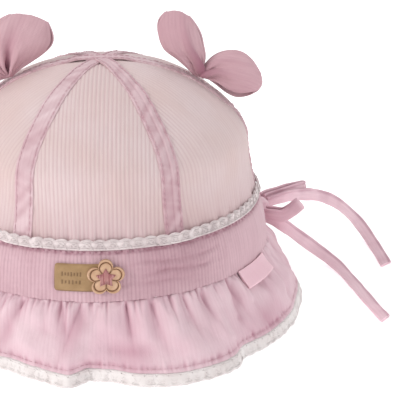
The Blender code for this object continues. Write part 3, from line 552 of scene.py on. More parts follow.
def cotton(look):
    # Thin woven cotton: matt, a faint bloom of loose fibres at its edges, painted shade in the ribs' valleys.
    # Threads are 0.25 mm in the real cloth and drawn as look["thread"] so they show.
    material, tree, shader = newMaterial(look["name"], look["colour"], look.get("roughness", 0.88))
    shader.inputs["Sheen Weight"].default_value = look.get("sheen", 0.25)
    shader.inputs["Sheen Roughness"].default_value = 0.45
    shader.inputs["Sheen Tint"].default_value = toLinear("FFF4F6")
    shader.inputs["Specular IOR Level"].default_value = look.get("specular", 0.25)
    base, shade, deep = [toLinear(look[part]) for part in ("colour", "shade", "deep")]
    place = addNode(tree, "ShaderNodeTexCoord").outputs["Object"]
    cloth = addNode(tree, "ShaderNodeUVMap", uv_map="cloth")
    u, v = addNode(tree, "ShaderNodeSeparateXYZ", {0: cloth}).outputs[:2]

    clouds = addNode(tree, "ShaderNodeTexNoise", {"Vector": place, "Scale": 38.0, "Detail": 2.0})
    clouds = addNode(tree, "ShaderNodeMapRange", {0: clouds, 1: 0.35, 2: 0.7, 3: 0.0, 4: 1.0})
    slubX = addNode(tree, "ShaderNodeMath", {0: u, 1: look["ribPitch"] * 0.55}, operation="DIVIDE")
    slubY = addNode(tree, "ShaderNodeMath", {0: v, 1: 16.0}, operation="DIVIDE")
    slub = addNode(tree, "ShaderNodeCombineXYZ", {0: slubX, 1: slubY})
    streaks = addNode(tree, "ShaderNodeTexNoise", {"Vector": slub, "Scale": 1.0, "Detail": 2.0})
    most = look.get("streak", 0.4)
    streaky = addNode(tree, "ShaderNodeMapRange", {0: streaks, 1: 0.4, 2: 0.72, 3: 0.0, 4: most})
    ribs = addNode(tree, "ShaderNodeMath", {0: u, 1: 2 * math.pi / look["ribPitch"]}, operation="MULTIPLY")
    ribs = addNode(tree, "ShaderNodeMath", {0: ribs}, operation="SINE")
    # painted shade in the ribs' valleys
    valleys = addNode(tree, "ShaderNodeMapRange", {0: ribs, 1: -1.0, 2: 0.2, 3: look["ribValleyShade"], 4: 0.0})
    if look.get("fades"):                        # the painted shade in the rib valleys shows less where the cloth is pressed smooth
        calm = addNode(tree, "ShaderNodeAttribute", attribute_name="crinkle").outputs["Fac"]
        valleys = addNode(tree, "ShaderNodeMath", {0: valleys, 1: calm}, operation="MULTIPLY")
    # tone: painted shade in folds, creases, seams and dents, some random mottling and the star's own deeper
    # colour, mixed towards the deep colour
    tone = addNode(tree, "ShaderNodeAttribute", attribute_name="tone").outputs["Fac"]
    colour = base
    for amount, tint in ((clouds, shade), (streaky, deep), (valleys, deep), (tone, deep)):
        colour = addNode(tree, "ShaderNodeMix", {0: amount, 6: colour, 7: tint}, data_type="RGBA").outputs[2]
    tree.links.new(colour, shader.inputs["Base Color"])

    waves = []
    for way in (u, v):
        turns = {0: way, 1: 2 * math.pi / look["thread"]}
        turns = addNode(tree, "ShaderNodeMath", turns, operation="MULTIPLY")
        waves.append(addNode(tree, "ShaderNodeMath", {0: turns}, operation="SINE"))
    weave = addNode(tree, "ShaderNodeMath", {0: waves[0], 1: waves[1]}, operation="MULTIPLY")
    fuzz = addNode(tree, "ShaderNodeTexNoise", {"Vector": place, "Scale": 900.0, "Detail": 3.0})
    weave = addNode(tree, "ShaderNodeMath", {0: weave, 1: 0.3}, operation="MULTIPLY")
    height = addNode(tree, "ShaderNodeMath", {0: weave, 1: fuzz}, operation="ADD")
    slubs = addNode(tree, "ShaderNodeMath", {0: streaks, 1: 1.2}, operation="MULTIPLY")
    height = addNode(tree, "ShaderNodeMath", {0: height, 1: slubs}, operation="ADD")
    bump = addNode(tree, "ShaderNodeBump", {"Strength": 0.55, "Distance": 0.18 * mm, "Height": height})
    tree.links.new(bump.outputs[0], shader.inputs["Normal"])
    return material


def lace(name, look):
    # Bleached cotton thread worked into lace: off-white, quite matt, round threads with a soft twist.
    material, tree, shader = newMaterial(name, look["colour"], 0.82)
    shader.inputs["Sheen Weight"].default_value = 0.3
    shader.inputs["Sheen Roughness"].default_value = 0.4
    shader.inputs["Specular IOR Level"].default_value = 0.3
    place = addNode(tree, "ShaderNodeTexCoord").outputs["Object"]
    clouds = addNode(tree, "ShaderNodeTexNoise", {"Vector": place, "Scale": 140.0, "Detail": 3.0})
    clouds = addNode(tree, "ShaderNodeMapRange", {0: clouds, 1: 0.38, 2: 0.68, 3: 0.0, 4: 1.0})
    base, shade = toLinear(look["colour"]), toLinear(look["shade"])
    colour = addNode(tree, "ShaderNodeMix", {0: clouds, 6: base, 7: shade}, data_type="RGBA").outputs[2]
    tree.links.new(colour, shader.inputs["Base Color"])
    twist = addNode(tree, "ShaderNodeTexNoise", {"Vector": place, "Scale": 1500.0, "Detail": 2.0})
    bump = addNode(tree, "ShaderNodeBump", {"Strength": 0.35, "Distance": 0.12 * mm, "Height": twist})
    tree.links.new(bump.outputs[0], shader.inputs["Normal"])
    return material


def leather(name, look):
    # Vegetable-tanned leather: smooth with a fine pebble grain 0.4 mm across, darker where pressed and round
    # the patch's edges, with painted shade along its lower edge.
    material, tree, shader = newMaterial(name, look["colour"], 0.52)
    shader.inputs["Specular IOR Level"].default_value = 0.45
    base, shade, deep = [toLinear(look[part]) for part in ("colour", "shade", "deep")]
    place = addNode(tree, "ShaderNodeTexCoord").outputs["Object"]
    clouds = addNode(tree, "ShaderNodeTexNoise", {"Vector": place, "Scale": 260.0, "Detail": 4.0})
    cloudy = addNode(tree, "ShaderNodeMapRange", {0: clouds, 1: 0.36, 2: 0.68, 3: 0.0, 4: 1.0})
    pressed = addNode(tree, "ShaderNodeAttribute", attribute_name="pressed").outputs["Fac"]
    colour = base
    for amount, tint in ((cloudy, shade), (pressed, deep)):
        colour = addNode(tree, "ShaderNodeMix", {0: amount, 6: colour, 7: tint}, data_type="RGBA").outputs[2]
    tree.links.new(colour, shader.inputs["Base Color"])
    grain = addNode(tree, "ShaderNodeTexVoronoi", {"Vector": place, "Scale": 1 / (0.4 * mm)})
    pores = addNode(tree, "ShaderNodeTexNoise", {"Vector": place, "Scale": 1100.0, "Detail": 3.0})
    pores = addNode(tree, "ShaderNodeMath", {0: pores, 1: 0.8}, operation="MULTIPLY")
    height = addNode(tree, "ShaderNodeMath", {0: grain.outputs["Distance"], 1: pores}, operation="ADD")
    bump = addNode(tree, "ShaderNodeBump", {"Strength": 0.35, "Distance": 0.12 * mm, "Height": height})
    tree.links.new(bump.outputs[0], shader.inputs["Normal"])
    rough = addNode(tree, "ShaderNodeMapRange", {0: clouds, 1: 0.3, 2: 0.7, 3: 0.45, 4: 0.62})
    tree.links.new(rough.outputs[0], shader.inputs["Roughness"])
    return material


def thread(name, colour):
    # Spun polyester sewing thread: a little glossier than the cotton that it holds.
    material, tree, shader = newMaterial(name, colour, 0.6)
    place = addNode(tree, "ShaderNodeTexCoord").outputs["Object"]
    twist = addNode(tree, "ShaderNodeTexNoise", {"Vector": place, "Scale": 2200.0, "Detail": 2.0})
    bump = addNode(tree, "ShaderNodeBump", {"Strength": 0.5, "Distance": 0.08 * mm, "Height": twist})
    tree.links.new(bump.outputs[0], shader.inputs["Normal"])
    return material


# Rib pitch and thread spacing in millimetres. The rib valley shade is painted shade, a share of the deep
# colour.
cottons = {
    "crown": {"name": "ribbedCrownCotton", "colour": "D9C7C7", "shade": "D5BFBC", "deep": "BD9AA0",
              "ribPitch": 1.75, "ribValleyShade": 0.42, "thread": 0.7, "streak": 0.14, "fades": True},
    "strip": {"name": "biasTapeCotton", "colour": "DEC8CC", "shade": "D4B6BC", "deep": "B28892",
              "ribPitch": 2.0, "ribValleyShade": 0.05, "thread": 0.7, "streak": 0.2},
    "band": {"name": "seersuckerBandCotton", "colour": "D4B4BC", "shade": "C9A6AF", "deep": "A07581",
             "ribPitch": 1.7, "ribValleyShade": 0.26, "thread": 0.7, "streak": 0.2, "fades": True},
    "brim": {"name": "crinkledBrimCotton", "colour": "E2C8CF", "shade": "DBBAC4", "deep": "B98697",
             "ribPitch": 1.8, "ribValleyShade": 0.06, "thread": 0.7, "streak": 0.07},
    "bow": {"name": "foldedBowCotton", "colour": "CDAAB1", "shade": "C49CA5", "deep": "975F72",
            "ribPitch": 1.9, "ribValleyShade": 0.04, "thread": 0.7, "streak": 0.12},
    "tie": {"name": "tieTapeCotton", "colour": "EFD0D9", "shade": "E6C0CB", "deep": "B98C9C",
            "ribPitch": 1.6, "ribValleyShade": 0.04, "thread": 0.6, "streak": 0.15},
    "label": {"name": "wovenLabelSatin", "colour": "F3CCD6", "shade": "EEC3CF", "deep": "DDA5B5",
              "ribPitch": 0.9, "ribValleyShade": 0.05, "thread": 0.4, "streak": 0.1,
              "roughness": 0.55, "sheen": 0.4, "specular": 0.4},
    "star": {"name": "embroideredStarCotton", "colour": "D0A09B", "shade": "C48F8F", "deep": "95595C",
             "ribPitch": 0.9, "ribValleyShade": 0.3, "thread": 0.5},
}
cloths = {part: cotton(look) for part, look in cottons.items()}
whiteLace = lace("bleachedCottonLace", {"colour": "EAE4E3", "shade": "DFD6D5"})
trimLace = lace("washedTrimLace", {"colour": "EADFDF", "shade": "DACDCE"})
patchLeather = leather("tannedPatchLeather", {"colour": "A5855F", "shade": "977853", "deep": "5E4228"})
flowerLeather = leather("paleFlowerLeather", {"colour": "D0AC8D", "shade": "BD9678", "deep": "7F5940"})
pinkThread = thread("pinkSewingThread", "CDA5AF")
seamThread = thread("deepPinkSeamThread", "A87686")
print("materials made")


# Camera and light

view = {
    "distance": 600.0, "elevation": 19.5, "height": 60.0,    # from a point on the hat's axis
    "focal": 1262.0, "frame": 400.0,                         # in the photograph's pixels
    "aim": (45.56, 0.0, 46.94), "roll": -0.23,
}
studio = {
    "floor": 4.0, "floorGlow": 0.4, "sky": 0.56,
    # Name, place and aim in metres, size in metres, power in watts, colour.
    "lights": (
        ("keyLight", (-1.1, -0.55, 0.8), (0, 0, 0.06), 0.7, 9.6, "FFFCFA"),
        ("fillLight", (1.1, -0.7, 0.6), (0, 0, 0.05), 0.9, 3.8, "FFFFFF"),
        ("topLight", (0.1, 0.5, 1.2), (0, 0, 0.05), 0.8, 3.4, "FFFFFF"),
    ),
}


def addCamera():
    camera = bpy.data.cameras.new("camera")
    camera.sensor_width = 36.0
    camera.lens = view["focal"] / view["frame"] * camera.sensor_width
    camera.clip_start, camera.clip_end = 0.01, 20.0
    holder = bpy.data.objects.new("camera", camera)
    bpy.context.scene.collection.objects.link(holder)
    rise = math.radians(view["elevation"])
    back, up = view["distance"] * math.cos(rise), view["distance"] * math.sin(rise)
    spot = Vector((0, -back, view["height"] + up))
    look = (Vector(view["aim"]) - spot).to_track_quat("-Z", "Y").to_matrix()
    turned = look @ Matrix.Rotation(math.radians(view["roll"]), 3, "Z")
    holder.matrix_world = Matrix.Translation(spot * mm) @ turned.to_4x4()
    bpy.context.scene.camera = holder


def addLight(name, spot, aim, size, power, colour):
    lamp = bpy.data.lights.new(name, "AREA")
    lamp.shape, lamp.size = "DISK", size
    lamp.energy = power
    lamp.color = toLinear(colour)[:3]
    holder = bpy.data.objects.new(name, lamp)
    holder.location = spot
    holder.rotation_euler = (Vector(aim) - Vector(spot)).to_track_quat("-Z", "Y").to_euler()
    bpy.context.scene.collection.objects.link(holder)


def addStage():
    # A painted white floor with a little light of its own, so that it ends as white as a studio's.
    floorPaint, _, shader = newMaterial("paleFloor", "FFFFFF", 0.9)
    shader.inputs["Emission Color"].default_value = toLinear("FFFFFF")
    shader.inputs["Emission Strength"].default_value = studio["floorGlow"]
    size = studio["floor"]
    mesh = bpy.data.meshes.new("floor")
    corners = [(-size, -size, 0), (size, -size, 0), (size, size, 0), (-size, size, 0)]
    mesh.from_pydata(corners, [], [(0, 1, 2, 3)])
    mesh.materials.append(floorPaint)
    floor = bpy.data.objects.new("floor", mesh)
    bpy.context.scene.collection.objects.link(floor)
    world = bpy.data.worlds.new("studio")
    world.use_nodes = True
    world.node_tree.nodes["Background"].inputs[0].default_value = toLinear("FFFFFF")
    world.node_tree.nodes["Background"].inputs[1].default_value = studio["sky"]
    bpy.context.scene.world = world
    for light in studio["lights"]:
        addLight(*light)
    bpy.context.scene.view_settings.view_transform = "Standard"


addCamera()
addStage()
print("camera and light set")


# Cords: the tie's two ends and two loops

tie = {
    "width": 6.5, "thickness": 1.5, "halfGap": 1.15, "rows": 110, "loopRows": 40, "columns": 32,
    "foldAt": 0.56, "foldWidth": 0.14,                       # the pressed line, as shares of the half width
    "pinch": 0.05, "swell": 0.22,                            # how much its width and thickness vary
    "slant": 0.8, "slantReach": 9.0,                         # the free ends are cut aslant
}

# Route points: x, y, z in millimetres and the lean of the flat face in degrees.
upperTail = (
    (81.5, 27.6, 33.9, 72), (87.8, 31.5, 34.3, 76), (96.4, 38.5, 33.4, 86), (107.0, 46.5, 30.6, 98),
    (116.1, 53.0, 26.3, 108), (125.1, 58.0, 19.9, 118), (133.7, 59.5, 11.5, 132), (138.3, 56.5, 6.1, 150),
    (141.0, 49.5, 2.6, 168), (142.4, 39.7, 1.0, 178), (142.8, 29.8, 0.9, 180), (142.9, 20.1, 0.9, 180),
)
lowerTail = (
    (80.7, 22.2, 28.1, 58), (87.5, 22.2, 24.8, 72), (93.2, 25.0, 20.0, 88), (99.7, 27.0, 14.2, 104),
    (106.4, 27.0, 8.8, 120), (112.6, 24.0, 4.7, 140), (117.3, 18.5, 1.9, 168), (120.8, 5.1, 0.9, 180),
    (123.4, -11.0, 0.9, 180), (126.0, -28.0, 0.9, 180), (128.7, -42.5, 0.9, 180),
)
upperLoop = (
    (79.2, 30.4, 34.8, 76), (82.6, 34.0, 34.9, 80), (88.8, 38.0, 34.8, 86), (96.6, 43.8, 34.6, 92),
    (103.2, 49.2, 34.0, 96),
)
lowerLoop = (
    (80.2, 17.9, 32.7, 66), (83.6, 15.6, 32.7, 76), (88.0, 14.4, 32.4, 88), (92.3, 13.6, 34.9, 98),
    (95.2, 13.2, 37.6, 104),
)


def splineThrough(table, count):                 # a smooth curve through route points, evenly walked
    table = np.asarray(table, float)
    padded = np.concatenate([[2 * table[0] - table[1]], table, [2 * table[-1] - table[-2]]])
    t = np.linspace(0, 1, 24, endpoint=False)[:, None]
    parts = [splinePart(*padded[i : i + 4], t) for i in range(len(padded) - 3)]
    fine = np.concatenate(parts + [table[-1:]])
    walked = walkedTo(fine[:, :3])
    return readAlong(np.linspace(0, walked[-1], count), walked, fine), walked[-1]


def strapFrame(route, count):
    table, length = splineThrough(route, count)
    points = table[:, :3]
    along = unit(np.gradient(points, axis=0))
    level = unit(np.cross(along, (0.0, 0.0, 1.0)))
    rising = np.cross(level, along)
    lean = np.radians(table[:, 3])[:, None]
    wide = level * np.cos(lean) + rising * np.sin(lean)
    return points, wide, np.cross(along, wide), length


def addStrap(name, points, wide, facing, length, seed, slant=0.0):
    # A turned tube of cloth pressed flat: rounded edges and a pressed fold line beside one edge.
    half, thick = tie["width"] / 2, tie["thickness"] / 2
    foldAt, foldWidth = tie["foldAt"], tie["foldWidth"]
    turns = np.arange(tie["columns"]) * 2 * math.pi / tie["columns"]
    side = np.sign(np.cos(turns)) * np.abs(np.cos(turns)) ** 0.75
    lift = np.sign(np.sin(turns)) * np.abs(np.sin(turns)) ** 0.6
    crease = 1 - 0.5 * bell(side, foldAt, foldWidth) + 0.15 * easeIn(side, foldAt, 0.8)
    along = np.linspace(0, length, len(points))
    pinch = 1 + tie["pinch"] * noiseAlong(along, 6.0, seed)[:, None]
    swell = 1 + tie["swell"] * noiseAlong(along, 4.0, seed + 1)[:, None] * (1 - side**2)
    cut = -slant * half * side * easeIn(along, length - tie["slantReach"], length)[:, None]
    grid = points[:, None] + wide[:, None] * (half * side * pinch)[..., None]
    grid = grid + facing[:, None] * (thick * lift * crease * swell)[..., None]
    grid = grid + unit(np.gradient(points, axis=0))[:, None] * cut[..., None]
    ends = [np.repeat(grid[i].mean(axis=0)[None, None], tie["columns"], axis=1) for i in (0, -1)]
    closed = np.concatenate([ends[0], grid, ends[1]])
    rows, columns = closed.shape[:2]
    flat = closed.reshape(-1, 3)
    faces = turnedOut(flat, quadsOver(rows, columns, True))
    mesh = meshOf(name, flat, faces.tolist())
    u = np.broadcast_to(side * half, (rows, columns)).reshape(-1)
    v = np.repeat(np.concatenate([[0], along, [length]]), columns)
    setUv(mesh, np.stack([u, v], -1)[faces])
    # painted shade in the pressed fold line; the strip beyond the fold is drawn darker
    edge = 0.42 * easeIn(side, foldAt - 0.06, foldAt + 0.1) + 0.3 * bell(side, foldAt, foldWidth)
    mottleAndShade = 0.25 * noiseAlong(v.reshape(rows, columns), 5.0, seed + 2) - 0.05
    setMark(mesh, "tone", np.clip(edge + mottleAndShade, 0, 0.9))
    editMesh(mesh, lambda work: bmesh.ops.remove_doubles(work, verts=work.verts, dist=0.005 * mm))
    return linkMesh(name, mesh, cloths["tie"])


def addTail(name, node, route, seed):
    points, wide, facing, length = strapFrame(route, tie["rows"])
    piece = dress(addStrap(name, points, wide, facing, length, seed, tie["slant"]), node)
    return length


def addLoop(name, node, route, seed):
    points, wide, facing, _ = strapFrame(route, tie["loopRows"])
    along = unit(points[-1] - points[-2])
    swell = tie["halfGap"] * (1 + 0.35 * np.sin(np.pi * np.linspace(0.05, 0.9, len(points))))[:, None]
    turns = np.radians(np.arange(15, 180, 15))[:, None]
    tip = along * np.sin(turns) + facing[-1] * np.cos(turns)
    faces = np.concatenate([facing, tip, -facing[::-1]])
    there, back = points + facing * swell, points - facing * swell
    line = np.concatenate([there, points[-1] + tip * swell[-1], back[::-1]])
    sides = np.concatenate([wide, np.repeat(wide[-1:], len(tip), axis=0), wide[::-1]])
    whole = np.linalg.norm(np.diff(line, axis=0), axis=1).sum()
    piece = dress(addStrap(name, line, sides, faces, whole, seed), node)
    return whole


knot = {
    "place": (78.3, 24.1, 33.0), "size": (4.0, 4.46, 5.4), "rows": 30, "columns": 48,
    "wrap": 0.07, "wraps": 2, "fine": 0.04, "fines": 5, "twist": 3.0, "fineTwist": 4,
}


def addKnot():                                   # a ball of cloth with slanting wraps
    rows, columns = knot["rows"], knot["columns"]
    turns = np.linspace(0, 2 * np.pi, columns, endpoint=False)
    rises = np.linspace(0.02, np.pi - 0.02, rows)[:, None]
    wraps = 1 + knot["wrap"] * np.cos(knot["wraps"] * (knot["twist"] * rises + turns))
    wraps = wraps + knot["fine"] * np.cos(knot["fines"] * turns + knot["fineTwist"] * rises)
    ball = np.stack([np.cos(turns) * np.sin(rises) * wraps, np.sin(turns) * np.sin(rises) * wraps,
                     -np.cos(rises) + 0 * turns], -1)
    outer = np.array(knot["place"]) + ball * knot["size"]
    caps = [list(range(columns))[::-1], [(rows - 1) * columns + i for i in range(columns)]]
    mesh = meshOf("tieKnot", outer.reshape(-1, 3), quadsOver(rows, columns, True).tolist() + caps)
    spots = pointOfCorners(mesh)
    setUv(mesh, np.stack([(spots % columns) * 0.7, (spots // columns) * 0.5], -1))
    dress(linkMesh("tieKnot", mesh, cloths["tie"]), "tie_knot")


lengths = [
    addTail("tieTailUpper", "tie_tail_upper", upperTail, 11),
    addTail("tieTailLower", "tie_tail_lower", lowerTail, 21),
    addLoop("tieLoopUpper", "tie_loop_upper", upperLoop, 31),
    addLoop("tieLoopLower", "tie_loop_lower", lowerLoop, 41),
]
addKnot()
print("tie made, lengths in mm:", [round(float(x)) for x in lengths])


# Crown: six ribbed panels

crown = {
    "columns": 176, "rows": 50, "poleWay": 0.972, "gap": 0.3,
    "drawn": 0.55, "drawnPitch": 2.6, "drawnReach": 5.0,     # small folds at the foot, under the lace
    "smooth": 0.55, "smoothFrom": 24, "smoothTo": 42,        # the ribs show less round the sides, in degrees
    "footTone": 0.36, "footReach": 16.0, "foldShade": 0.3,    # darker near the foot by the lace, and painted shade in the folds
    "ribPitch": cottons["crown"]["ribPitch"], "ribDepth": 0.1,
    "creaseSize": 11.0, "creaseStretch": 2.6, "creaseDepth": 1.1,
}


def addCrownPanel(number, start, end):
    ways = np.linspace(0, crown["poleWay"], crown["rows"])[:, None]
    radius = np.hypot(*crownPoint(start, ways[:, 0])[:, :2].T)[:, None]
    margin = np.degrees(crown["gap"] / 2 / radius)
    shares = np.linspace(0, 1, crown["columns"] + 1)
    angles = start + margin + (end - start - 2 * margin) * shares
    across = radius * np.sin(np.radians(angles - (start + end) / 2))
    along = ways * crownLength + 0 * angles
    drawn = crown["drawn"] * noiseAlong(across + 400, crown["drawnPitch"], number)
    drawn = drawn * np.exp(-np.maximum(along - crown["drawnReach"], 0) / crown["drawnReach"])
    calm = easeIn(np.minimum(shares, 1 - shares) * (end - start), 2.0, 6.0)
    away = np.abs(turnFrom(angles, 0))
    ribbed = calm * (1 - crown["smooth"] * easeIn(away, crown["smoothFrom"], crown["smoothTo"]))
    tone = crown["footTone"] * np.exp(-((along / crown["footReach"]) ** 2))
    # painted shade in the drawn folds
    tone = tone + crown["foldShade"] * np.clip(-drawn, 0, 1) * calm
    front = crownOff(angles, ways + 0 * angles, drawn * calm)
    back = crownOff(angles, ways + 0 * angles, drawn * calm - hat["clothWall"])
    back[0, :, 2] = hat["crownFoot"]
    piece = addWall(f"crownPanel{number}", front, back, np.stack([across, along], -1), cloths["crown"],
                    marks=clothMarks(across, along, ribbed, tone))
    crinkle(piece, crown, 3 * number)
    dress(piece, f"crown_panel_{number}")


seamsRound = seamAngles + (seamAngles[0] + 360,)
for number in range(6):
    addCrownPanel(number + 1, seamsRound[number], seamsRound[number + 1])
print("crown made")


# Three tapes over the seams, each from one side of the crown to the other

tape = {
    "width": 9.0, "topWidth": 6.0, "taper": 40.0, "wall": 0.5, "lift": 0.2, "columns": 24, "rows": 150,
    "capRadius": 11.0, "capRows": 14, "groove": 0.2, "grooveWidth": 0.4, "edgeDrop": 0.35,
    "stitchEdge": 1.1, "stitchPitch": 2.7, "stitchColumn": 3, "stitchLength": 2.2, "stitchRadius": 0.17,
    "stack": 0.45, "stackFrom": 17, "stackFull": 10,         # each tape lies this much higher at the top
    "dropFrom": 24, "dropOut": 16,
    "pucker": 0.2, "puckerPitch": 1.6, "wave": 0.22, "wavePitch": 3.6,
    "felledShadedTape": 1, "tapeShade": (0.05, 0.27), "tapeShadeReach": (40, 75),    # one carries painted shade, mostly low down
}
tapeSeams = ((0, 3), (1, 4), (2, 5))


def tapeArm(angle, turned):
    ways = np.linspace(0, 1, 2000)
    stop = np.interp(-tape["capRadius"], -crownRadiusAt(ways), ways)
    ways = np.linspace(0, stop, tape["rows"])[:, None]
    radius = crownRadiusAt(ways)
    share = np.clip((radius - tape["topWidth"]) / tape["taper"], 0, 1)
    half = (tape["topWidth"] + (tape["width"] - tape["topWidth"]) * share) / 2
    t = np.linspace(-1, 1, tape["columns"] + 1) * (-1 if turned else 1)
    return angle + np.degrees(np.arcsin(half * t / radius)), ways + 0 * t, half * t


def tapeHalf(seam, turned, order):               # one side of the crown: face, back, place across, dents
    angles, ways, side = tapeArm(seamAngles[seam], turned)
    along = ways * crownLength
    half = np.abs(side).max(axis=1, keepdims=True)
    near = np.abs(side) / half
    pucker = noiseAlong(along * 1.3 + 700 + 0.4 * side, tape["puckerPitch"], order)
    pucker = tape["pucker"] * pucker * (0.35 + 0.65 * near**2)
    pucker = pucker + tape["wave"] * noiseAlong(along + 90 - 1.1 * side, tape["wavePitch"], order + 5)
    groove = -tape["groove"] * bell(np.abs(side), half - tape["stitchEdge"], tape["grooveWidth"])
    if order == tape["felledShadedTape"]:                  # this one is felled: a ridge along its middle
        groove = groove - tape["groove"] * bell(side, 0.3, tape["grooveWidth"]) + 0.15 * bell(side, 1.4, 0.8)
    radius = crownRadiusAt(ways)
    stack = order * tape["stack"] * easeIn(-radius, -tape["stackFrom"], -tape["stackFull"])
    drop = 1 - easeIn(-radius, -tape["dropFrom"], -tape["dropOut"])
    drop = tape["edgeDrop"] * easeIn(near, 0.86, 1.0) * drop
    lift = tape["lift"] + tape["wall"] + stack + pucker + groove - drop
    under = np.minimum(tape["lift"] + stack - 0.3, lift - 0.25)
    return crownOff(angles, ways, lift), crownOff(angles, ways, under), side, pucker + groove


def tapeCap(low, high):                          # straight over the top from one half to the other
    steps = np.linspace(0, 1, tape["capRows"] + 2)[1:-1, None, None]
    cap = low * (1 - steps) + high * steps
    ways = np.linspace(1, 0.7, 200)
    level, edgeLevel = [
        np.interp(np.hypot(part[..., 0], part[..., 1]), crownRadiusAt(ways), crownHeightAt(ways))
        for part in (cap, low)
    ]
    cap[..., 2] += level - edgeLevel
    return cap


def addTape(order, first, second):
    there, here = tapeHalf(first, False, order), tapeHalf(second, True, order)
    front, back = [
        np.concatenate([there[i], tapeCap(there[i][-1], here[i][-1]), here[i][::-1]]) for i in (0, 1)
    ]
    u = np.concatenate([there[2], np.repeat(there[2][-1:], tape["capRows"], axis=0), here[2][::-1]])
    dents = np.concatenate([there[3], np.zeros((tape["capRows"], u.shape[1])), here[3][::-1]])
    walked = walkedTo(front[:, tape["columns"] // 2])
    # painted shade in the dents and grooves, over a slightly deeper colour
    tone = np.clip(0.2 - 1.1 * dents, 0, 0.6)
    # the felled tape gets painted shade as well, most of it low down
    if order == tape["felledShadedTape"]:
        over, low = tape["tapeShade"]
        tone = tone + (over + low * (1 - easeIn(walked, *tape["tapeShadeReach"])))[:, None]
    uv = np.stack([u, np.repeat(walked[:, None], u.shape[1], axis=1)], -1)
    piece = addWall(f"seamTape{order + 1}", front, back, uv, cloths["strip"], marks={"tone": tone})
    dress(piece, "seam_strips")
    return front


tapeFronts = [addTape(order, first, second) for order, (first, second) in enumerate(tapeSeams)]
print("seam tapes made")


# Stitches

stitch = {"points": 5, "top": 0.9, "arch": 3.2, "jitter": 0.12, "tangentReach": 0.4}


def stitchMotif(length, radius):
    t = np.linspace(-0.5, 0.5, stitch["points"])
    arch = np.stack([t * length, 0 * t, radius * (stitch["top"] - stitch["arch"] * t**2)], -1)
    return threadsMesh("stitch", [arch], radius)


def stitchLine(line, facing, pitch):             # even places along a line, with their directions
    walked = walkedTo(line)
    spots = np.arange(pitch / 2, walked[-1], pitch)
    reach = stitch["tangentReach"]
    along = readAlong(spots + reach, walked, line) - readAlong(spots - reach, walked, line)
    return readAlong(spots, walked, line), readAlong(spots, walked, facing), unit(along)


def addStitches(name, lines, pitch, length, radius, material, seed):
    places, outs, alongs = [np.concatenate(x) for x in zip(*[stitchLine(a, b, pitch) for a, b in lines])]
    motif, sizes = stitchMotif(length, radius), (1, 1, 1)
    dress(setMotifs(name, motif, places, outs, alongs, sizes, material, stitch["jitter"], seed))


def addTapeStitches():
    lines = []
    for front in tapeFronts:
        facing = facingOf(front, False)
        if (facing[0, 8] * front[0, 8] * (1, 1, 0)).sum() < 0:
            facing = -facing
        for column in (tape["stitchColumn"], tape["columns"] - tape["stitchColumn"]):
            out = facing[4:-4, column]
            lines.append((front[4:-4, column] + out * 0.03, out))
    addStitches("tapeStitches", lines, tape["stitchPitch"], tape["stitchLength"], tape["stitchRadius"],
                pinkThread, 5)


addTapeStitches()
print("tape stitches made")


# Band

band = {
    "wall": 2.0, "columns": 1200, "rows": 30, "seamDrop": 1.25, "seamWidth": 0.4,
    "pucker": 0.6, "puckerPitch": 1.7, "puckerReach": 3.0,   # drawn in by the seam at the top
    "foot": 0.3, "footPitch": 2.4, "footReach": 2.5,         # and by the brim's seam at the foot
    "smooth": 0.75, "smoothFrom": 36, "smoothTo": 56,        # the ribs show less round the sides, in degrees
    # painted shade over the band's front, then random blotches
    "mottleAndShade": 0.42, "blotches": 0.16,
    "stitchPitch": 2.6, "stitchLength": 1.1, "stitchRadius": 0.22,
    "ribRadius": 75, "ribPitch": cottons["band"]["ribPitch"], "ribDepth": 0.08,
    "creaseSize": 3.8, "creaseStretch": 0.4, "creaseDepth": 1.0,
}

# Creases lying along the band: share of its height from the top, from and to angle, depth.
bandCreases = (
    (0.3, 4, 44, 0.45), (0.52, 10, 40, 0.6), (0.72, -4, 30, 0.35), (0.45, -70, -40, 0.4),
    (0.6, 100, 150, 0.4), (0.4, 190, 240, 0.45),
)


def ribsRound(angles, look):                     # whole ribs round the hat: where each column stands
    turns = np.round(2 * np.pi * look["ribRadius"] / look["ribPitch"])
    return angles / 360 * turns * look["ribPitch"], turns * look["ribPitch"]


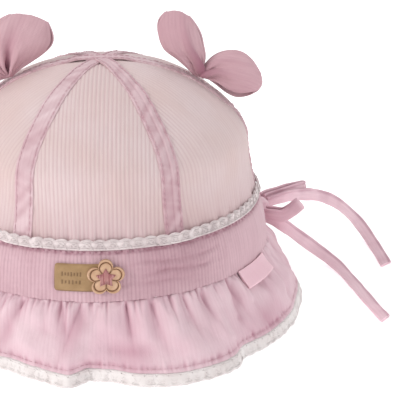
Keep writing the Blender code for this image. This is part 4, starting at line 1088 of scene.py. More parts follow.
def addBand():
    angles = np.arange(band["columns"]) * 360 / band["columns"]
    shares = np.linspace(0, 1, band["rows"])[:, None]
    heights = hat["bandTop"] - shares * (hat["bandTop"] - hat["bandFoot"])
    radius = bandRadius(heights) + 0 * angles
    across, turn = ribsRound(angles, band)
    across = across + 0 * shares
    along = shares * (hat["bandTop"] - hat["bandFoot"]) + 0 * angles
    level = turnFrom(angles, 0)
    seam = bell(along, band["seamDrop"], band["seamWidth"])
    drawn = np.exp(-along / band["puckerReach"])
    out = band["pucker"] * noiseAlong(across, band["puckerPitch"], 7) * drawn - 0.4 * seam
    # painted shade in the seam's groove and under the lace's edge
    tone = 1.1 * seam * (0.55 + 0.45 * noiseAlong(across, 1.3, 8)) + 0.4 * np.exp(-along / 1.5)
    spots = noiseAlong(across + 40 * shares, 3.0, 17) * noiseAlong(across * 0.4 + along * 3, 2.0, 18)
    tone = tone + band["blotches"] * (0.5 + 0.5 * spots - 0.4)
    # painted shade where the puckers sink in
    tone = tone - 0.5 * np.clip(out, -1, 0) * drawn
    foot = np.exp((along - along.max()) / band["footReach"])
    out = out + band["foot"] * noiseAlong(across, band["footPitch"], 9) * foot
    for share, start, end, depth in bandCreases:
        spot = level if end < 180 else angles
        near = easeIn(spot, start, start + 8) * (1 - easeIn(spot, end - 8, end))
        wander = share + 0.04 * noiseAlong(angles * 0.3, 2.0, int(share * 100))
        dent = near * bell(shares, wander, 0.035) * (0.7 + 0.3 * noiseAlong(angles, 1.7, 31))
        out = out - depth * dent + 0.5 * depth * near * bell(shares, wander + 0.08, 0.05)
        # painted shade in each crease
        tone = tone + 0.6 * depth * dent
    # painted shade over the front of the band
    mottleAndShade = easeIn(level, 2, 16) * (1 - easeIn(level, 26, 46)) * bell(shares, 0.5, 0.5)
    tone = np.clip(tone + band["mottleAndShade"] * mottleAndShade, 0, 1)
    ribbed = 1 - band["smooth"] * easeIn(np.abs(level) + 0 * shares, band["smoothFrom"], band["smoothTo"])
    front = placeAt(radius + out * easeIn(shares, -0.05, 0.05), angles, heights)
    back = placeAt(radius - band["wall"], angles, heights)
    piece = addWall("bandCloth", front, back, uvRound(across, along, turn), cloths["band"], closedRound=True,
                    marks=clothMarks(across, along, ribbed, tone))
    crinkle(piece, band, 4)
    dress(piece, "band")
    facing = placeAt(np.ones(band["columns"] + 1), np.append(angles, 360.0), 0.0)
    line = np.concatenate([front[1], front[1, :1]]) + 0.15 * facing
    addStitches("seamStitches", [(line, facing)], band["stitchPitch"], band["stitchLength"],
                band["stitchRadius"], seamThread, 15)


addBand()
print("band made")


# Brim: a gathered sheet with a stitched hem

brim = {
    "columns": 1080, "rows": 36, "wall": 0.9, "height": 34.0, "perDegree": 1.5, "hemShare": 0.93,
    # the shade entries are strengths of painted shade
    "foldDepth": 1.15, "foldWidth": 0.45, "foldOpening": 2.2, "foldDrift": 1.6, "foldShade": 0.34,
    "foldSwell": 0.4,                                        # the cloth rises again beside each fold
    "smallFolds": 170, "smallWidth": 0.45, "smallFoldShade": 0.4, "smallFoldShadeWidth": 0.35,
    "hollow": 0.36, "hollowShade": 0.07, "puff": 1.05, "lobes": 0.95, "head": 0.9, "perShare": 30,
    "backFrom": 96, "backTo": 320, "backStep": 11.0, "billowStep": 4.5,
    "foldSeed": 5, "smallSeed": 12, "billowSeed": 77,
    "hemGroove": 0.4, "hemGrooveWidth": 0.02, "hemGrooveShade": 0.25,
    "puckers": 0.75, "puckerWidth": 0.07, "perDegreeAtHem": 1.6,     # drawn in along the hem's stitches
    "stitchPitch": 2.6, "stitchLength": 1.8, "stitchRadius": 0.13,
    "ribRadius": 92, "ribPitch": cottons["brim"]["ribPitch"], "ribDepth": 0.045, "ribHeight": 32.0,
    "creaseSize": 7.0, "creaseStretch": 1.3, "creaseDepth": 1.3,
}


def gatherFolds(angles, shares, chance):         # sharp at the seam, opening out below
    out, tone = 0, 0
    for middle, strength, drift in brimFolds:
        reach = chance.uniform(0.25, 0.7) * strength
        depth = easeIn(shares, -0.02, 0.08) * np.exp(-((shares / reach) ** 2)) * strength
        away = np.abs(turnFrom(angles - middle, brim["foldDrift"] * drift * shares))
        width = brim["foldWidth"] + brim["foldOpening"] * shares
        swell = np.exp(-(((away - 2.6 * width - 0.8) / (1.6 * width)) ** 2))
        out = out - brim["foldDepth"] * depth * np.exp(-away / width)
        out = out + brim["foldSwell"] * brim["foldDepth"] * depth * swell
        # painted shade in each fold
        tone = tone + brim["foldShade"] * depth * np.exp(-away / (0.35 + 0.8 * shares))
    return out, tone


def hollowsAndPuffs(chance):                     # the listed ones, then the same kinds round the back
    hollows, puffs = list(brimHollows), list(brimPuffs)
    for middle in np.arange(brim["backFrom"], brim["backTo"], brim["backStep"]):
        start = middle + chance.uniform(-3, 3)
        end = start + chance.uniform(-5, 5)
        hollows.append((start, 0.0, end, chance.uniform(0.4, 0.9), chance.uniform(1.4, 2.8), 2.2))
        puffs.append((start + 5.5, chance.uniform(0.2, 0.7), chance.uniform(1.2, 2.1), 4.0, 0.22))
    chance = np.random.default_rng(brim["billowSeed"])
    for middle in np.arange(0, 360, brim["billowStep"]):     # soft billows at every height
        puffs.append((middle + chance.uniform(-2, 2), chance.uniform(0.25, 0.88), chance.uniform(-1.3, 1.3),
                      chance.uniform(1.8, 3.6), chance.uniform(0.1, 0.22)))
    return hollows, puffs


def brimFront(angles, shares):
    chance = np.random.default_rng(brim["foldSeed"])
    out, tone = gatherFolds(angles, shares, chance)
    hollows, puffs = hollowsAndPuffs(chance)
    for start, level, end, lastLevel, deep, half in hollows:
        x = turnFrom(angles, start) * brim["perDegree"]
        y = (shares - level) * brim["perShare"]
        along = np.array(((end - start) * brim["perDegree"], (lastLevel - level) * brim["perShare"]))
        t = np.clip((x * along[0] + y * along[1]) / (along @ along), 0, 1)
        gone = np.hypot(x - t * along[0], y - t * along[1]) / (half * (0.95 + 0.6 * t))
        hollow = deep * np.exp(-(gone**1.6)) * easeIn(shares, 0.0, 0.1)
        out = out - brim["hollow"] * hollow
        # painted shade in each hollow
        tone = tone + brim["hollowShade"] * hollow
    for middle, level, high, wide, tall in puffs:
        near = np.exp(-((turnFrom(angles, middle) / wide) ** 2) - ((shares - level) / tall) ** 2)
        out = out + brim["puff"] * high * near * easeIn(shares, 0.0, 0.12)
    # patches of painted shade
    for middle, level, strength, wide, tall in brimShades:
        near = np.exp(-((turnFrom(angles, middle) / wide) ** 2) - ((shares - level) / tall) ** 2)
        tone = tone + strength * near
    lobes = noiseAlong(angles + 14 * shares, 6.0, 41) * 0.6 + noiseAlong(angles - 20 * shares, 4.2, 42) * 0.5
    lobes = lobes * easeIn(np.minimum(angles, 360 - angles + 0 * shares), 0, 12)
    out = out + brim["head"] * easeIn(shares, 0.0, 0.09) * np.exp(-shares / 0.2)
    out = out + brim["lobes"] * lobes * easeIn(shares, 0.1, 0.5) * (1 - 0.6 * easeIn(shares, 0.8, 1))
    out = out * (1 - 0.45 * easeIn(shares, 0.85, 1.0))

    count = brim["smallFolds"]
    chance = np.random.default_rng(brim["smallSeed"])
    spots = np.arange(count) * 360 / count + chance.uniform(-0.9, 0.9, count)
    sizes = chance.uniform(0.25, 1.3, count)
    reaches = chance.uniform(0.1, 0.34, count)
    for middle, size, reach in zip(spots, sizes, reaches):
        near = np.abs(turnFrom(angles, middle)) < 3
        away = turnFrom(angles[near], middle)
        deep = size * np.exp(-((shares / reach) ** 2))
        out[:, near] -= deep * np.exp(-((away / brim["smallWidth"]) ** 2))
        # painted shade in each small fold
        tone[:, near] += brim["smallFoldShade"] * deep * np.exp(-((away / brim["smallFoldShadeWidth"]) ** 2))
    # painted shade where the cloth sinks in, less where it bulges
    tone = np.clip(tone - 0.08 * out, 0, 0.7)

    groove = bell(shares, brim["hemShare"], brim["hemGrooveWidth"])
    length = angles * brim["perDegreeAtHem"]
    puckers = 0.6 * noiseAlong(length, 1.5, 3) + 0.4 * noiseAlong(length, 0.8, 5)
    gathered = bell(shares, brim["hemShare"], brim["puckerWidth"])
    gathered = gathered * (0.75 + 0.25 * noiseAlong(angles, 7.0, 6))
    out = out - brim["hemGroove"] * groove + brim["puckers"] * puckers * gathered
    # painted shade in the hem's puckers and groove
    tone = tone + gathered * np.clip(0.3 - 0.5 * puckers, 0, 0.8) + brim["hemGrooveShade"] * groove
    outward = placeAt(np.ones(out.shape), angles, 0.45 * np.ones(out.shape))
    return brimPoint(angles + 0 * shares, shares + 0 * angles) + outward * out[..., None], np.clip(tone, 0, 1)


def addBrim():
    angles = np.arange(brim["columns"]) * 360 / brim["columns"]
    shares = np.linspace(0, 1, brim["rows"])[:, None]
    front, tone = brimFront(angles, shares)
    facing = facingOf(front, True)
    if (facing[0, 0] * front[0, 0]).sum() < 0:
        facing = -facing
    back = front - facing * brim["wall"]
    for grid in (front, back):
        grid[0, :, 2] = hat["brimTop"]
        grid[-1, :, 2] = hat["brimHem"]
    across, turn = ribsRound(angles, brim)
    across = across + 0 * shares
    along = shares * brim["ribHeight"] + 0 * angles
    mask = easeIn(shares, 0.0, 0.12) * (1 - 0.6 * easeIn(shares, 0.9, 1.0)) + 0 * angles
    piece = addWall("brimCloth", front, back, uvRound(across, along, turn), cloths["brim"], closedRound=True,
                    marks=clothMarks(across, along, mask, tone))
    crinkle(piece, brim, 8)
    dress(piece, "brim")
    rounds = np.concatenate([front, front[:, :1]], axis=1)
    length = float(np.linalg.norm(np.diff(rounds, axis=1), axis=2).sum(axis=1).mean())
    hemRow = int(round(brim["hemShare"] * (brim["rows"] - 1)))
    out = np.concatenate([facing[hemRow], facing[hemRow, :1]])
    addStitches("hemStitches", [(rounds[hemRow] + out * 0.02, out)], brim["stitchPitch"],
                brim["stitchLength"], brim["stitchRadius"], pinkThread, 9)
    return (front[-1] + back[-1]) / 2, length


brimHemLine, brimLength = addBrim()
print("brim made, mean length in mm:", round(brimLength))


# Lace: a backing with openings, and threads laid over it one scallop at a time

laceLook = {"wall": 0.55, "thread": 0.2, "unitColumns": 8, "ridges": 5, "relief": 0.06, "edgePower": 0.8}


def scallopDip(part):                            # how far the edge falls back between two scallops
    return 1 - np.sin(np.pi * part) ** laceLook["edgePower"]


def laceMotif(width, height, notch):
    # One scallop: a cord round its edge, an inner arc, spokes from the foot and a braid below.
    turn = np.linspace(0, np.pi, 11)
    top = height - notch * scallopDip(turn / np.pi)
    edge = np.stack([-width / 2 * np.cos(turn), top, 0 * turn + 0.1], -1)
    inner = height * 0.3 + height * 0.42 * np.sin(turn)
    arc = np.stack([-width * 0.3 * np.cos(turn), inner, 0 * turn + 0.08], -1)
    paths = [edge, edge * (0.86, 0.9, 1.0) + (0, 0, 0.02), arc]
    t = np.linspace(0, 1, 3)
    for lean in (-0.8, -0.4, 0.0, 0.4, 0.8):
        top = height - notch * 0.4 * abs(lean) - 0.5
        paths.append(np.stack([lean * width * 0.45 * t, 1.3 + (top - 1.3) * t, 0 * t + 0.06], -1))
    across = np.linspace(-width / 2, width / 2, 7)
    for level, swing in ((0.55, 0.22), (0.55, -0.22), (1.3, 0.12)):
        wave = level + swing * np.sin(2 * np.pi * across / width * 2)
        paths.append(np.stack([across, wave, 0 * across + 0.1], -1))
    return threadsMesh("laceScallop", paths, laceLook["thread"])


def laceHoles(rows, columns, spots):             # which cells of the backing are left out
    kept = np.ones((rows - 1, columns), bool)
    for row, column in spots:
        kept[row, column :: laceLook["unitColumns"]] = False
    return kept


def laceRelief(units, rows):                     # a soft fan of ridges in each scallop
    unitColumns = laceLook["unitColumns"]
    u = (np.arange(units * unitColumns) % unitColumns) / unitColumns - 0.5
    v = np.linspace(0, 1, rows)[:, None]
    ridges = np.cos(2 * np.pi * laceLook["ridges"] * u / (0.35 + v))
    return laceLook["relief"] * ridges * easeIn(v, 0.1, 0.4)


def scallopTops(look):                           # the lace's height over each column
    unitColumns = laceLook["unitColumns"]
    part = (np.arange(look["units"] * unitColumns) % unitColumns) / unitColumns
    return look["height"] - look["notch"] * scallopDip(part)


# The narrow lace over the crown's join lies close to the crown and rides over the tapes.
trim = {
    "units": 84, "rows": 13, "foot": hat["bandTop"] + 0.25, "height": 4.35, "notch": 1.0,
    "gap": 0.36, "overTape": 0.85, "ripple": 0.3, "meanRadius": 73, "holes": ((1, 0), (1, 4)),
}


def trimLift(angle):
    away = np.min([np.abs(turnFrom(np.asarray(angle), seam)) for seam in seamAngles], axis=0)
    fromTape = hat["crownRadius"] * np.radians(away) - tape["width"] / 2
    return trim["gap"] + trim["overTape"] * np.clip((5.0 - fromTape) / 3.0, 0, 1)


def addLaceTrim():
    unitColumns, rows = laceLook["unitColumns"], trim["rows"]
    columns = trim["units"] * unitColumns
    angles = np.arange(columns) * 360 / columns
    v = np.linspace(0, 1, rows)[:, None]
    heights = trim["foot"] + v * scallopTops(trim)
    ways = np.linspace(0, 0.5, 400)
    crownSide = np.interp(heights, crownHeightAt(ways), crownRadiusAt(ways))
    sweep = easeIn(heights, trim["foot"] - 0.4, hat["crownFoot"] + 1.0)
    base = bandRadius(hat["bandTop"] - 0.1) * (1 - sweep) + (crownSide + 0.1) * sweep + trimLift(angles)
    base = base + trim["ripple"] * noiseAlong(angles * 1.27, 3.0, 4) * (0.25 + 0.5 * v)
    front = placeAt(base + laceLook["wall"] + laceRelief(trim["units"], rows), angles, heights)
    back = placeAt(base, angles, heights)
    length = 2 * np.pi * trim["meanRadius"]
    uv = uvRound(angles / 360 * length + 0 * v, v * 6, length)
    kept = laceHoles(rows, columns, trim["holes"])
    piece = addWall("laceTrim", front, back, uv, trimLace, closedRound=True, kept=kept)
    dress(piece, "lace_trim")
    middles = np.arange(trim["units"]) * unitColumns + unitColumns // 2
    along = placeAt(np.ones(len(middles)), angles[middles] + 90, 0.0)
    low, high = front[0, middles], front[-1, middles]
    facing = np.cross(along, unit(high - low))
    motif = laceMotif(length / trim["units"], trim["height"], trim["notch"])
    threads = setMotifs("laceTrimThreads", motif, low, facing, along, (1, 1, 1), trimLace, 0.02, 3)
    dress(threads)


edging = {
    "units": 118, "rows": 11, "height": 5.15, "notch": 0.85, "flare": 2.2, "ripple": 0.45,
    "top": hat["brimHem"] - 0.25, "clearance": 0.06, "holes": ((1, 0),),
}


def addLaceEdge():
    unitColumns, rows = laceLook["unitColumns"], edging["rows"]
    columns = edging["units"] * unitColumns
    closed = np.concatenate([brimHemLine, brimHemLine[:1]])
    walked = walkedTo(closed)
    even = np.arange(columns) * walked[-1] / columns
    line = readAlong(even, walked, closed)
    soft = line.copy()
    for _ in range(12):
        soft = (np.roll(soft, 1, axis=0) + soft + np.roll(soft, -1, axis=0)) / 3
    along = np.roll(soft, -1, axis=0) - np.roll(soft, 1, axis=0)
    outward = unit(np.stack([along[:, 1], -along[:, 0], 0 * along[:, 0]], -1))
    outward *= np.sign((outward * soft).sum(axis=1))[:, None]
    v = np.linspace(0, 1, rows)[:, None]
    ripple = edging["ripple"] * noiseAlong(even, 4.0, 6)
    base = line + outward * (edging["flare"] * v**0.8 + ripple * v)[..., None]
    drop = v * scallopTops(edging) * (edging["top"] - edging["clearance"]) / edging["height"]
    base[..., 2] = edging["top"] - drop
    relief = laceRelief(edging["units"], rows)[..., None]
    front = base + outward * (laceLook["wall"] / 2 + relief)
    back = base - outward * laceLook["wall"] / 2
    uv = uvRound(even + 0 * v, v * 5, walked[-1])
    kept = laceHoles(rows, columns, edging["holes"])
    piece = addWall("laceEdge", front, back, uv, whiteLace, closedRound=True, kept=kept)
    dress(piece, "lace_edge")
    middles = np.arange(edging["units"]) * unitColumns + unitColumns // 2
    low, high = front[0, middles], front[-1, middles]
    down = unit(high - low)
    facing = np.cross(down, unit(along[middles]))
    facing *= np.sign((facing * outward[middles]).sum(axis=1))[:, None]
    side = np.cross(down, facing)
    motif = laceMotif(walked[-1] / edging["units"], edging["height"] - 0.35, edging["notch"])
    threads = setMotifs("laceEdgeThreads", motif, low, facing, side, (1, 1, 1), whiteLace, 0.02, 4)
    dress(threads)


addLaceTrim()
addLaceEdge()
print("lace made")


# Bows: a strip of cloth folded into two loops that meet at a sewn pinch on the crown

bow = {
    "loop": 20.0, "columns": 44, "between": 7, "foldBulge": 1.6, "foldBase": 0.375, "wall": 0.95,
    "pleat": 0.95, "pleats": 5, "belly": 0.35,
    "closing": 0.72, "closingReach": 0.12,                   # one edge of each loop is drawn shut
    "right": 0.5745, "left": 0.605, "pinchLift": 1.45,       # the pinches, as shares of the crown's way
    "hemIn": 0.06, "hemDepth": 0.22, "hemWidth": 0.018, "innerShare": 0.95, "outerShare": 0.82,
    "ribPitch": cottons["bow"]["ribPitch"], "ribDepth": 0.03,
    "creaseSize": 6.0, "creaseStretch": 1.5, "creaseDepth": 1.0,
}

# Shares of the loop's size from the pinch: near edge x, z, far edge x, z, half depth.
rightInner = (
    (-0.08, 0.07, 0.045, 0.09, 0.055), (-0.25, 0.25, 0.13, 0.3, 0.12), (-0.495, 0.49, 0.165, 0.52, 0.19),
    (-0.78, 0.73, 0.13, 0.75, 0.24), (-0.905, 1.04, 0.08, 0.99, 0.235), (-0.895, 1.34, -0.02, 1.2, 0.17),
    (-0.75, 1.5, -0.17, 1.38, 0.0),
)
rightOuter = (
    (0.045, 0.095, 0.07, 0.03, 0.055), (0.14, 0.25, 0.22, -0.03, 0.12), (0.375, 0.49, 0.43, -0.2, 0.19),
    (0.675, 0.6, 0.68, -0.42, 0.24), (1.0, 0.57, 0.93, -0.54, 0.235), (1.26, 0.37, 1.21, -0.49, 0.17),
    (1.41, 0.09, 1.35, -0.33, 0.0),
)
leftInner = (
    (-0.045, 0.09, 0.08, 0.07, 0.055), (-0.16, 0.28, 0.275, 0.23, 0.12), (-0.26, 0.54, 0.55, 0.4, 0.19),
    (-0.33, 0.83, 0.8, 0.56, 0.24), (-0.32, 1.1, 1.01, 0.76, 0.235), (-0.17, 1.33, 1.045, 0.99, 0.17),
    (0.08, 1.44, 0.94, 1.24, 0.0),
)

# Soft valleys in each loop: share across, share along from the pinch to the fold, depth, width.
innerValleys = ((0.66, 0.6, 3.0, 0.1), (0.35, 0.4, 1.1, 0.06), (0.15, 0.3, 0.7, 0.05))
outerValleys = ((0.45, 0.4, 2.6, 0.09), (0.8, 0.5, 1.0, 0.06), (0.2, 0.35, 0.8, 0.05))


def loopRows(table, across, backFirst, frontShare, closedAt):
    shares = np.linspace(0, 1, bow["columns"] + 1)
    table = np.array(table) * bow["loop"]
    order = list(range(len(table))) + list(range(len(table) - 2, -1, -1))
    rows = []
    for step, i in enumerate(order):
        near, far = table[i, 0:2] * (across, 1), table[i, 2:4] * (across, 1)
        atBack = (step < len(table) - 1) == backFirst
        reach = 1.0
        if not atBack and i < len(table) - 1:
            reach = 1 - (1 - frontShare) * min(1.0, i / 2)
        pleat = bow["pleat"] * np.cos(bow["pleats"] * np.pi * shares) * max(0.0, 1 - i / 4) * min(1.0, i)
        flat = near + (far - near) * (shares * reach)[:, None]
        shut = 1 - bow["closing"] * np.exp(-np.abs(shares - closedAt) / bow["closingReach"])
        belly = (1 - bow["belly"] * (2 * shares - 1) ** 2) * shut
        y = (1.0 if atBack else -1.0) * table[i, 4] * belly + pleat
        if i == len(table) - 1:
            middle = table[i - 1, 0:4].reshape(2, 2).mean(axis=0) * (across, 1)
            outward = unit((near + far) / 2 - middle)
            flat = flat + outward * (bow["foldBulge"] * (np.sin(np.pi * shares) + bow["foldBase"]))[:, None]
            y = 0 * shares
        rows.append(np.stack([flat[:, 0], y, flat[:, 1]], -1))
    return np.array(rows)


def splineRows(rows, between):                   # more rows on a smooth curve through the given ones
    padded = np.concatenate([2 * rows[:1] - rows[1:2], rows, 2 * rows[-1:] - rows[-2:-1]])
    t = np.linspace(0, 1, between, endpoint=False)[:, None, None]
    parts = [splinePart(*padded[i : i + 4], t) for i in range(len(padded) - 3)]
    return np.concatenate(parts + [rows[-1:]])


def addBow(name, node, pinchWay, innerTable, outerTable, outerAcross, seed):
    pinch = crownOff(90.0 * outerAcross, pinchWay, bow["pinchLift"])
    inner = splineRows(loopRows(innerTable, 1, True, bow["innerShare"], 1), bow["between"])
    outer = splineRows(loopRows(outerTable, outerAcross, False, bow["outerShare"], 0), bow["between"])
    if outerAcross < 0:
        inner = inner[:, ::-1]
    grid = np.concatenate([inner, outer[:, ::-1]]) + pinch
    half = len(inner)
    shares = np.linspace(0, 1, bow["columns"] + 1)[None, :]
    hems = np.minimum(shares, 1 - shares)
    walked = np.abs(np.abs(np.linspace(-1, 1, half)) - 1)[:, None]       # 0 at the pinch, 1 at the fold
    offsets = []
    for valleys in (innerValleys, outerValleys):
        offset = np.zeros((half, bow["columns"] + 1))
        for middle, reach, depth, width in valleys:
            fading = np.exp(-((walked / reach) ** 2)) * easeIn(walked, 0, 0.12)
            offset -= depth * bell(shares, middle, width) * fading
        offsets.append(offset)
    offset = np.concatenate(offsets) - bow["hemDepth"] * bell(hems, bow["hemIn"], bow["hemWidth"])
    walked = np.concatenate([walked, walked])
    grid = grid + facingOf(grid, False) * offset[..., None]
    facing = facingOf(grid, False)
    front, back = grid + facing * bow["wall"] / 2, grid - facing * bow["wall"] / 2
    steps = np.linalg.norm(np.diff(grid, axis=0), axis=2).mean(axis=1)
    along = np.concatenate([[0], np.cumsum(steps)])[:, None] + 0 * shares
    widths = np.linalg.norm(np.diff(grid, axis=1), axis=2).sum(axis=1)
    across = (shares - 0.5) * widths[:, None]
    calm = easeIn(walked, 0.02, 0.2) * easeIn(hems, 0.0, 0.1)
    # painted shade in the loops' valleys and in the gathers by the pinch
    gathered = 0.5 * np.exp(-walked / 0.08) * (0.5 + 0.5 * noiseAlong(shares, 0.06, 3))
    tone = np.clip(-0.35 * offset + gathered, 0, 0.9)
    piece = addWall(name, front, back, np.stack([across, along], -1), cloths["bow"],
                    marks=clothMarks(across, along, calm, tone))
    crinkle(piece, bow, seed)
    dress(piece, node)
    flat = (float(widths.mean()) * mm, float(along.max()) * mm)
    return flat


bowSizes = [
    addBow("bowRight", "bow_right", bow["right"], rightInner, rightOuter, 1, 12),
    addBow("bowLeft", "bow_left", bow["left"], leftInner, rightOuter, -1, 13),
]
print("bows made, flat sizes in m:", bowSizes)


# Leather patch with two stamped rows, and the flower at its end

patch = {
    "start": -16.9, "share": 0.51, "length": 25.0, "height": 12.0, "wall": 1.0, "lift": 0.3, "corner": 1.2,
    "columns": 112, "rows": 54, "edge": 0.45, "edgeReach": 0.8, "swell": 0.1,
    "stamp": 0.28, "stroke": 0.34, "strokeFrom": 3.6, "strokeTo": 12.4,
    "stampRows": ((1.7, 1.3), (-1.8, 1.5)),                  # height on the patch, pitch of the strokes
}
bandHeight = hat["bandTop"] - hat["bandFoot"]


def stampedRows(side, up):                       # two rows of short pressed strokes
    pressed = np.zeros(np.broadcast(side, up).shape)
    for level, pitch in patch["stampRows"]:
        for i, middle in enumerate(np.arange(patch["strokeFrom"], patch["strokeTo"], pitch)):
            reach = (1.0, 0.7, 0.85)[i % 3]
            stroke = bell(side, middle, patch["stroke"])
            pressed = np.maximum(pressed, stroke * (1 - easeIn(np.abs(up - level), reach - 0.3, reach + 0.2)))
    return pressed


def addPatch():
    s = np.linspace(0, 1, patch["columns"] + 1)[None, :]
    t = np.linspace(-1, 1, patch["rows"] + 1)[:, None]
    corner = patch["corner"]
    fromEnd = np.minimum(s, 1 - s) * patch["length"]
    inset = corner - np.sqrt(np.maximum(0, corner**2 - np.maximum(0, corner - fromEnd) ** 2))
    side = s * patch["length"] + 0 * t
    up = t * (patch["height"] / 2 - inset)
    rim = np.minimum(fromEnd, (1 - np.abs(t)) * patch["height"] / 2)
    pressed = stampedRows(side, up)
    rounding = patch["edge"] * (1 - easeIn(rim, 0, patch["edgeReach"]))
    swell = patch["swell"] * noiseAlong(side * 0.6 + up * 0.5 + 50, 2.5, 5)
    out = patch["lift"] + patch["wall"] - rounding - patch["stamp"] * pressed + swell
    level = hat["bandTop"] - patch["share"] * bandHeight
    front = onBand(patch["start"], level, side, up, out)[::-1]
    back = onBand(patch["start"], level, side, up, patch["lift"] + 0 * out)[::-1]
    # edges drawn darker, with painted shade along the lower edge
    darkEdgeAndShade = 0.55 * (1 - easeIn(rim, 0.05, 0.7)) * easeIn(-t, -1.2, 0.6)
    marks = {"pressed": np.clip(np.maximum(0.75 * pressed, darkEdgeAndShade), 0, 1)[::-1]}
    piece = addWall("leatherPatch", front, back, np.stack([side, up], -1)[::-1], patchLeather, marks=marks)
    dress(piece, "patch")


flower = {
    "angle": -0.4, "share": 0.5, "reach": 4.9, "petal": 3.1, "petals": 5, "wall": 1.1,
    "rim": 0.5, "dome": 0.35, "around": 260, "rings": 30, "groove": 0.83, "grooveWidth": 0.035,
}


def fromPetal(turn):                             # turn from the nearest petal's middle
    part = 2 * math.pi / flower["petals"]
    return (turn - math.pi / 2 + part / 2) % part - part / 2


def petalReach(turn):                            # how far a flower of round petals reaches
    off = fromPetal(turn)
    beside = flower["reach"] * np.sin(off)
    return flower["reach"] * np.cos(off) + np.sqrt(flower["petal"] ** 2 - beside**2)


def onFlower(across, up, out):
    level = hat["bandTop"] - flower["share"] * bandHeight
    return onBand(flower["angle"], level, across, up, out)


def addFlower():
    turns = np.arange(flower["around"]) * 2 * np.pi / flower["around"]
    share = np.linspace(1, 0.03, flower["rings"])[:, None]
    reach = petalReach(turns)[None, :]
    across, up = share * reach * np.cos(turns), share * reach * np.sin(turns)
    base, wall = 2 * patch["lift"] + patch["wall"], flower["wall"]
    groove = bell(share, flower["groove"], flower["grooveWidth"])
    off = fromPetal(turns)
    between = bell(np.abs(off), math.pi / flower["petals"], 0.09)
    between = between * easeIn(share, 0.3, 0.5) * (1 - easeIn(share, 0.7, 0.8))
    dome = flower["dome"] * np.sin(np.pi * np.clip(share / 0.74, 0, 1)) * np.cos(off * 2.2) * (share < 0.75)
    rim = flower["rim"] * bell(share, 0.93, 0.07) - 0.4 * easeIn(share, 0.965, 1.0)
    out = base + wall + rim - 0.55 * groove - 0.4 * between + dome
    front, back = onFlower(across, up, out + 0 * across), onFlower(across, up, base + 0 * across)
    tips = [onFlower(0.0, 0.0, base + wall), onFlower(0.0, 0.0, base)]
    piece = addDisc("leatherFlower", front, back, tips, flowerLeather)
    pressed = np.clip(np.maximum(groove * 0.95, between * 0.8), 0, 1) + 0 * across
    pressed = np.maximum(pressed, 0.35 * easeIn(share, 0.975, 1.0)).ravel()
    setMark(piece.data, "pressed", np.concatenate([pressed, 0 * pressed, [0, 0]]))
    dress(piece, "flower")


# Rings of the star's pad: share of its reach, height in mm.
starPad = np.array(((1.0, 0.25), (0.97, 0.5), (0.85, 0.62), (0.6, 0.7), (0.35, 0.74), (0.12, 0.76)))
star = {
    "reach": 4.3, "inner": 0.56, "around": 100, "padTop": 0.78, "lift": 0.3, "under": 0.9,
    "pitch": 0.42, "thread": 0.2, "bundle": 5, "threadLift": 0.62, "threadShare": 0.97, "shortest": 12,
}


def starReach(turn):
    point = math.pi / flower["petals"]
    off = (turn - math.pi / 2) % (2 * point)
    off = np.minimum(off, 2 * point - off)
    inner = star["reach"] * star["inner"]
    a = np.array([star["reach"], 0.0])
    b = np.array([inner * math.cos(point), inner * math.sin(point)])
    edge = b - a
    return (a[0] * edge[1] - a[1] * edge[0]) / (np.cos(off) * edge[1] - np.sin(off) * edge[0])


def addStarPad(base):
    turns = np.arange(star["around"]) * 2 * np.pi / star["around"]
    share, lift = starPad[:, :1], starPad[:, 1:]
    reach = starReach(turns)[None, :]
    across, up = share * reach * np.cos(turns), share * reach * np.sin(turns)
    front = onFlower(across, up, base + lift + 0 * across)
    back = onFlower(across[:1], up[:1], base + 0 * across[:1])
    tips = [onFlower(0.0, 0.0, base + star["padTop"]), onFlower(0.0, 0.0, base)]
    piece = addDisc("starCloth", front, back, tips, cloths["star"])
    setMark(piece.data, "tone", np.full(len(piece.data.vertices), star["under"]))
    flat = [np.concatenate([side.ravel(), side[0], [0, 0]]) for side in (across, up)]
    setUv(piece.data, np.stack(flat, -1)[pointOfCorners(piece.data)])
    dress(piece, "flower_centre")


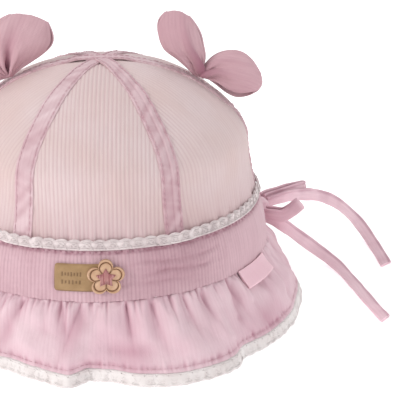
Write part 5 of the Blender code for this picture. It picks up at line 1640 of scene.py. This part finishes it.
def addStarThreads(base):                        # upright threads, clipped to the star, in bundles
    places, alongs, facings, sizes = [], [], [], []
    rise = np.linspace(-4, 4, 400)
    for step, x in enumerate(np.arange(-3.4, 3.41, star["pitch"])):
        if step % star["bundle"] == 1:           # a gap between two bundles
            continue
        inside = np.hypot(x, rise) < starReach(np.arctan2(rise, x)) * star["threadShare"]
        runs = np.flatnonzero(np.diff(np.concatenate([[0], inside, [0]])))
        for low, high in zip(runs[::2], runs[1::2]):
            if high - low < star["shortest"]:
                continue
            a, b = [onFlower(x, rise[end], base + star["threadLift"]) for end in (low, high - 1)]
            places.append((a + b) / 2)
            alongs.append((b - a) / np.linalg.norm(b - a))
            facings.append(onFlower(x, 0.0, 3.0) - onFlower(x, 0.0, 2.0))
            sizes.append((rise[high - 1] - rise[low], 1.0, 1.0))
    motif = stitchMotif(1.0, star["thread"])
    threads = setMotifs("starThreads", motif, places, facings, alongs, sizes, cloths["star"], 0.0, 2)
    setUv(threads.data, np.zeros(len(threads.data.loops) * 2))
    dress(threads)


addPatch()
addFlower()
starBase = 2 * patch["lift"] + patch["wall"] + flower["wall"] + star["lift"]
addStarPad(starBase)
addStarThreads(starBase)
print("leather made")


# Side label: a folded tab that leaves the seam of band and brim

label = {
    "from": 48.5, "to": 66.5, "drop": 0.28, "lift": 1.9, "belly": 0.5, "wall": 0.35, "gap": 0.3,
    "rows": 26, "columns": 30, "lean": 0.75,
}


def addLabel():
    angles = np.linspace(label["from"], label["to"], label["columns"] + 1)[None, :]
    shares = np.linspace(0.0, label["drop"], label["rows"])[:, None]
    lifts = smoothThrough(shares, (0.0, 0.11, 0.2, 0.28), (0.45, 0.7, 0.95, 1.15)) * label["lift"]
    across = (angles - label["from"]) / (label["to"] - label["from"])
    belly = label["belly"] * np.sin(np.pi * across * 1.3)
    lifts = lifts + belly * easeIn(shares, 0, label["drop"]) + 0 * angles
    outward = placeAt(np.ones(angles.shape), angles, label["lean"]) / 1.25 + 0 * shares[..., None]
    point = brimPoint(angles + 0 * shares, shares + 0 * angles)
    half = (label["gap"] + label["wall"]) / 2 * (0.55 + 0.9 * shares / label["drop"])
    upper = point + outward * (lifts + half)[..., None]
    lower = point + outward * (lifts - half)[..., None]
    turns = np.radians(np.arange(18, 180, 18))[:, None, None]
    down = unit(point[-1] - point[-2])
    bend = point[-1] + outward[-1] * (lifts[-1][:, None] + half[-1] * np.cos(turns))
    bend = bend + down * half[-1] * np.sin(turns)
    grid = np.concatenate([upper, bend, lower[::-1]])
    facing = facingOf(grid, False)
    if (facing[2, 5] * outward[2, 5]).sum() < 0:
        facing = -facing
    front, back = grid + facing * label["wall"] / 2, grid - facing * label["wall"] / 2
    walked = walkedTo(grid[:, 9])
    width = np.linalg.norm(np.diff(grid[5], axis=0), axis=1).sum()
    uv = np.stack(np.broadcast_arrays(across * width, walked[:, None]), -1)
    piece = dress(addWall("sideLabel", front, back, uv, cloths["label"]), "side_label")


addLabel()
print("label made")
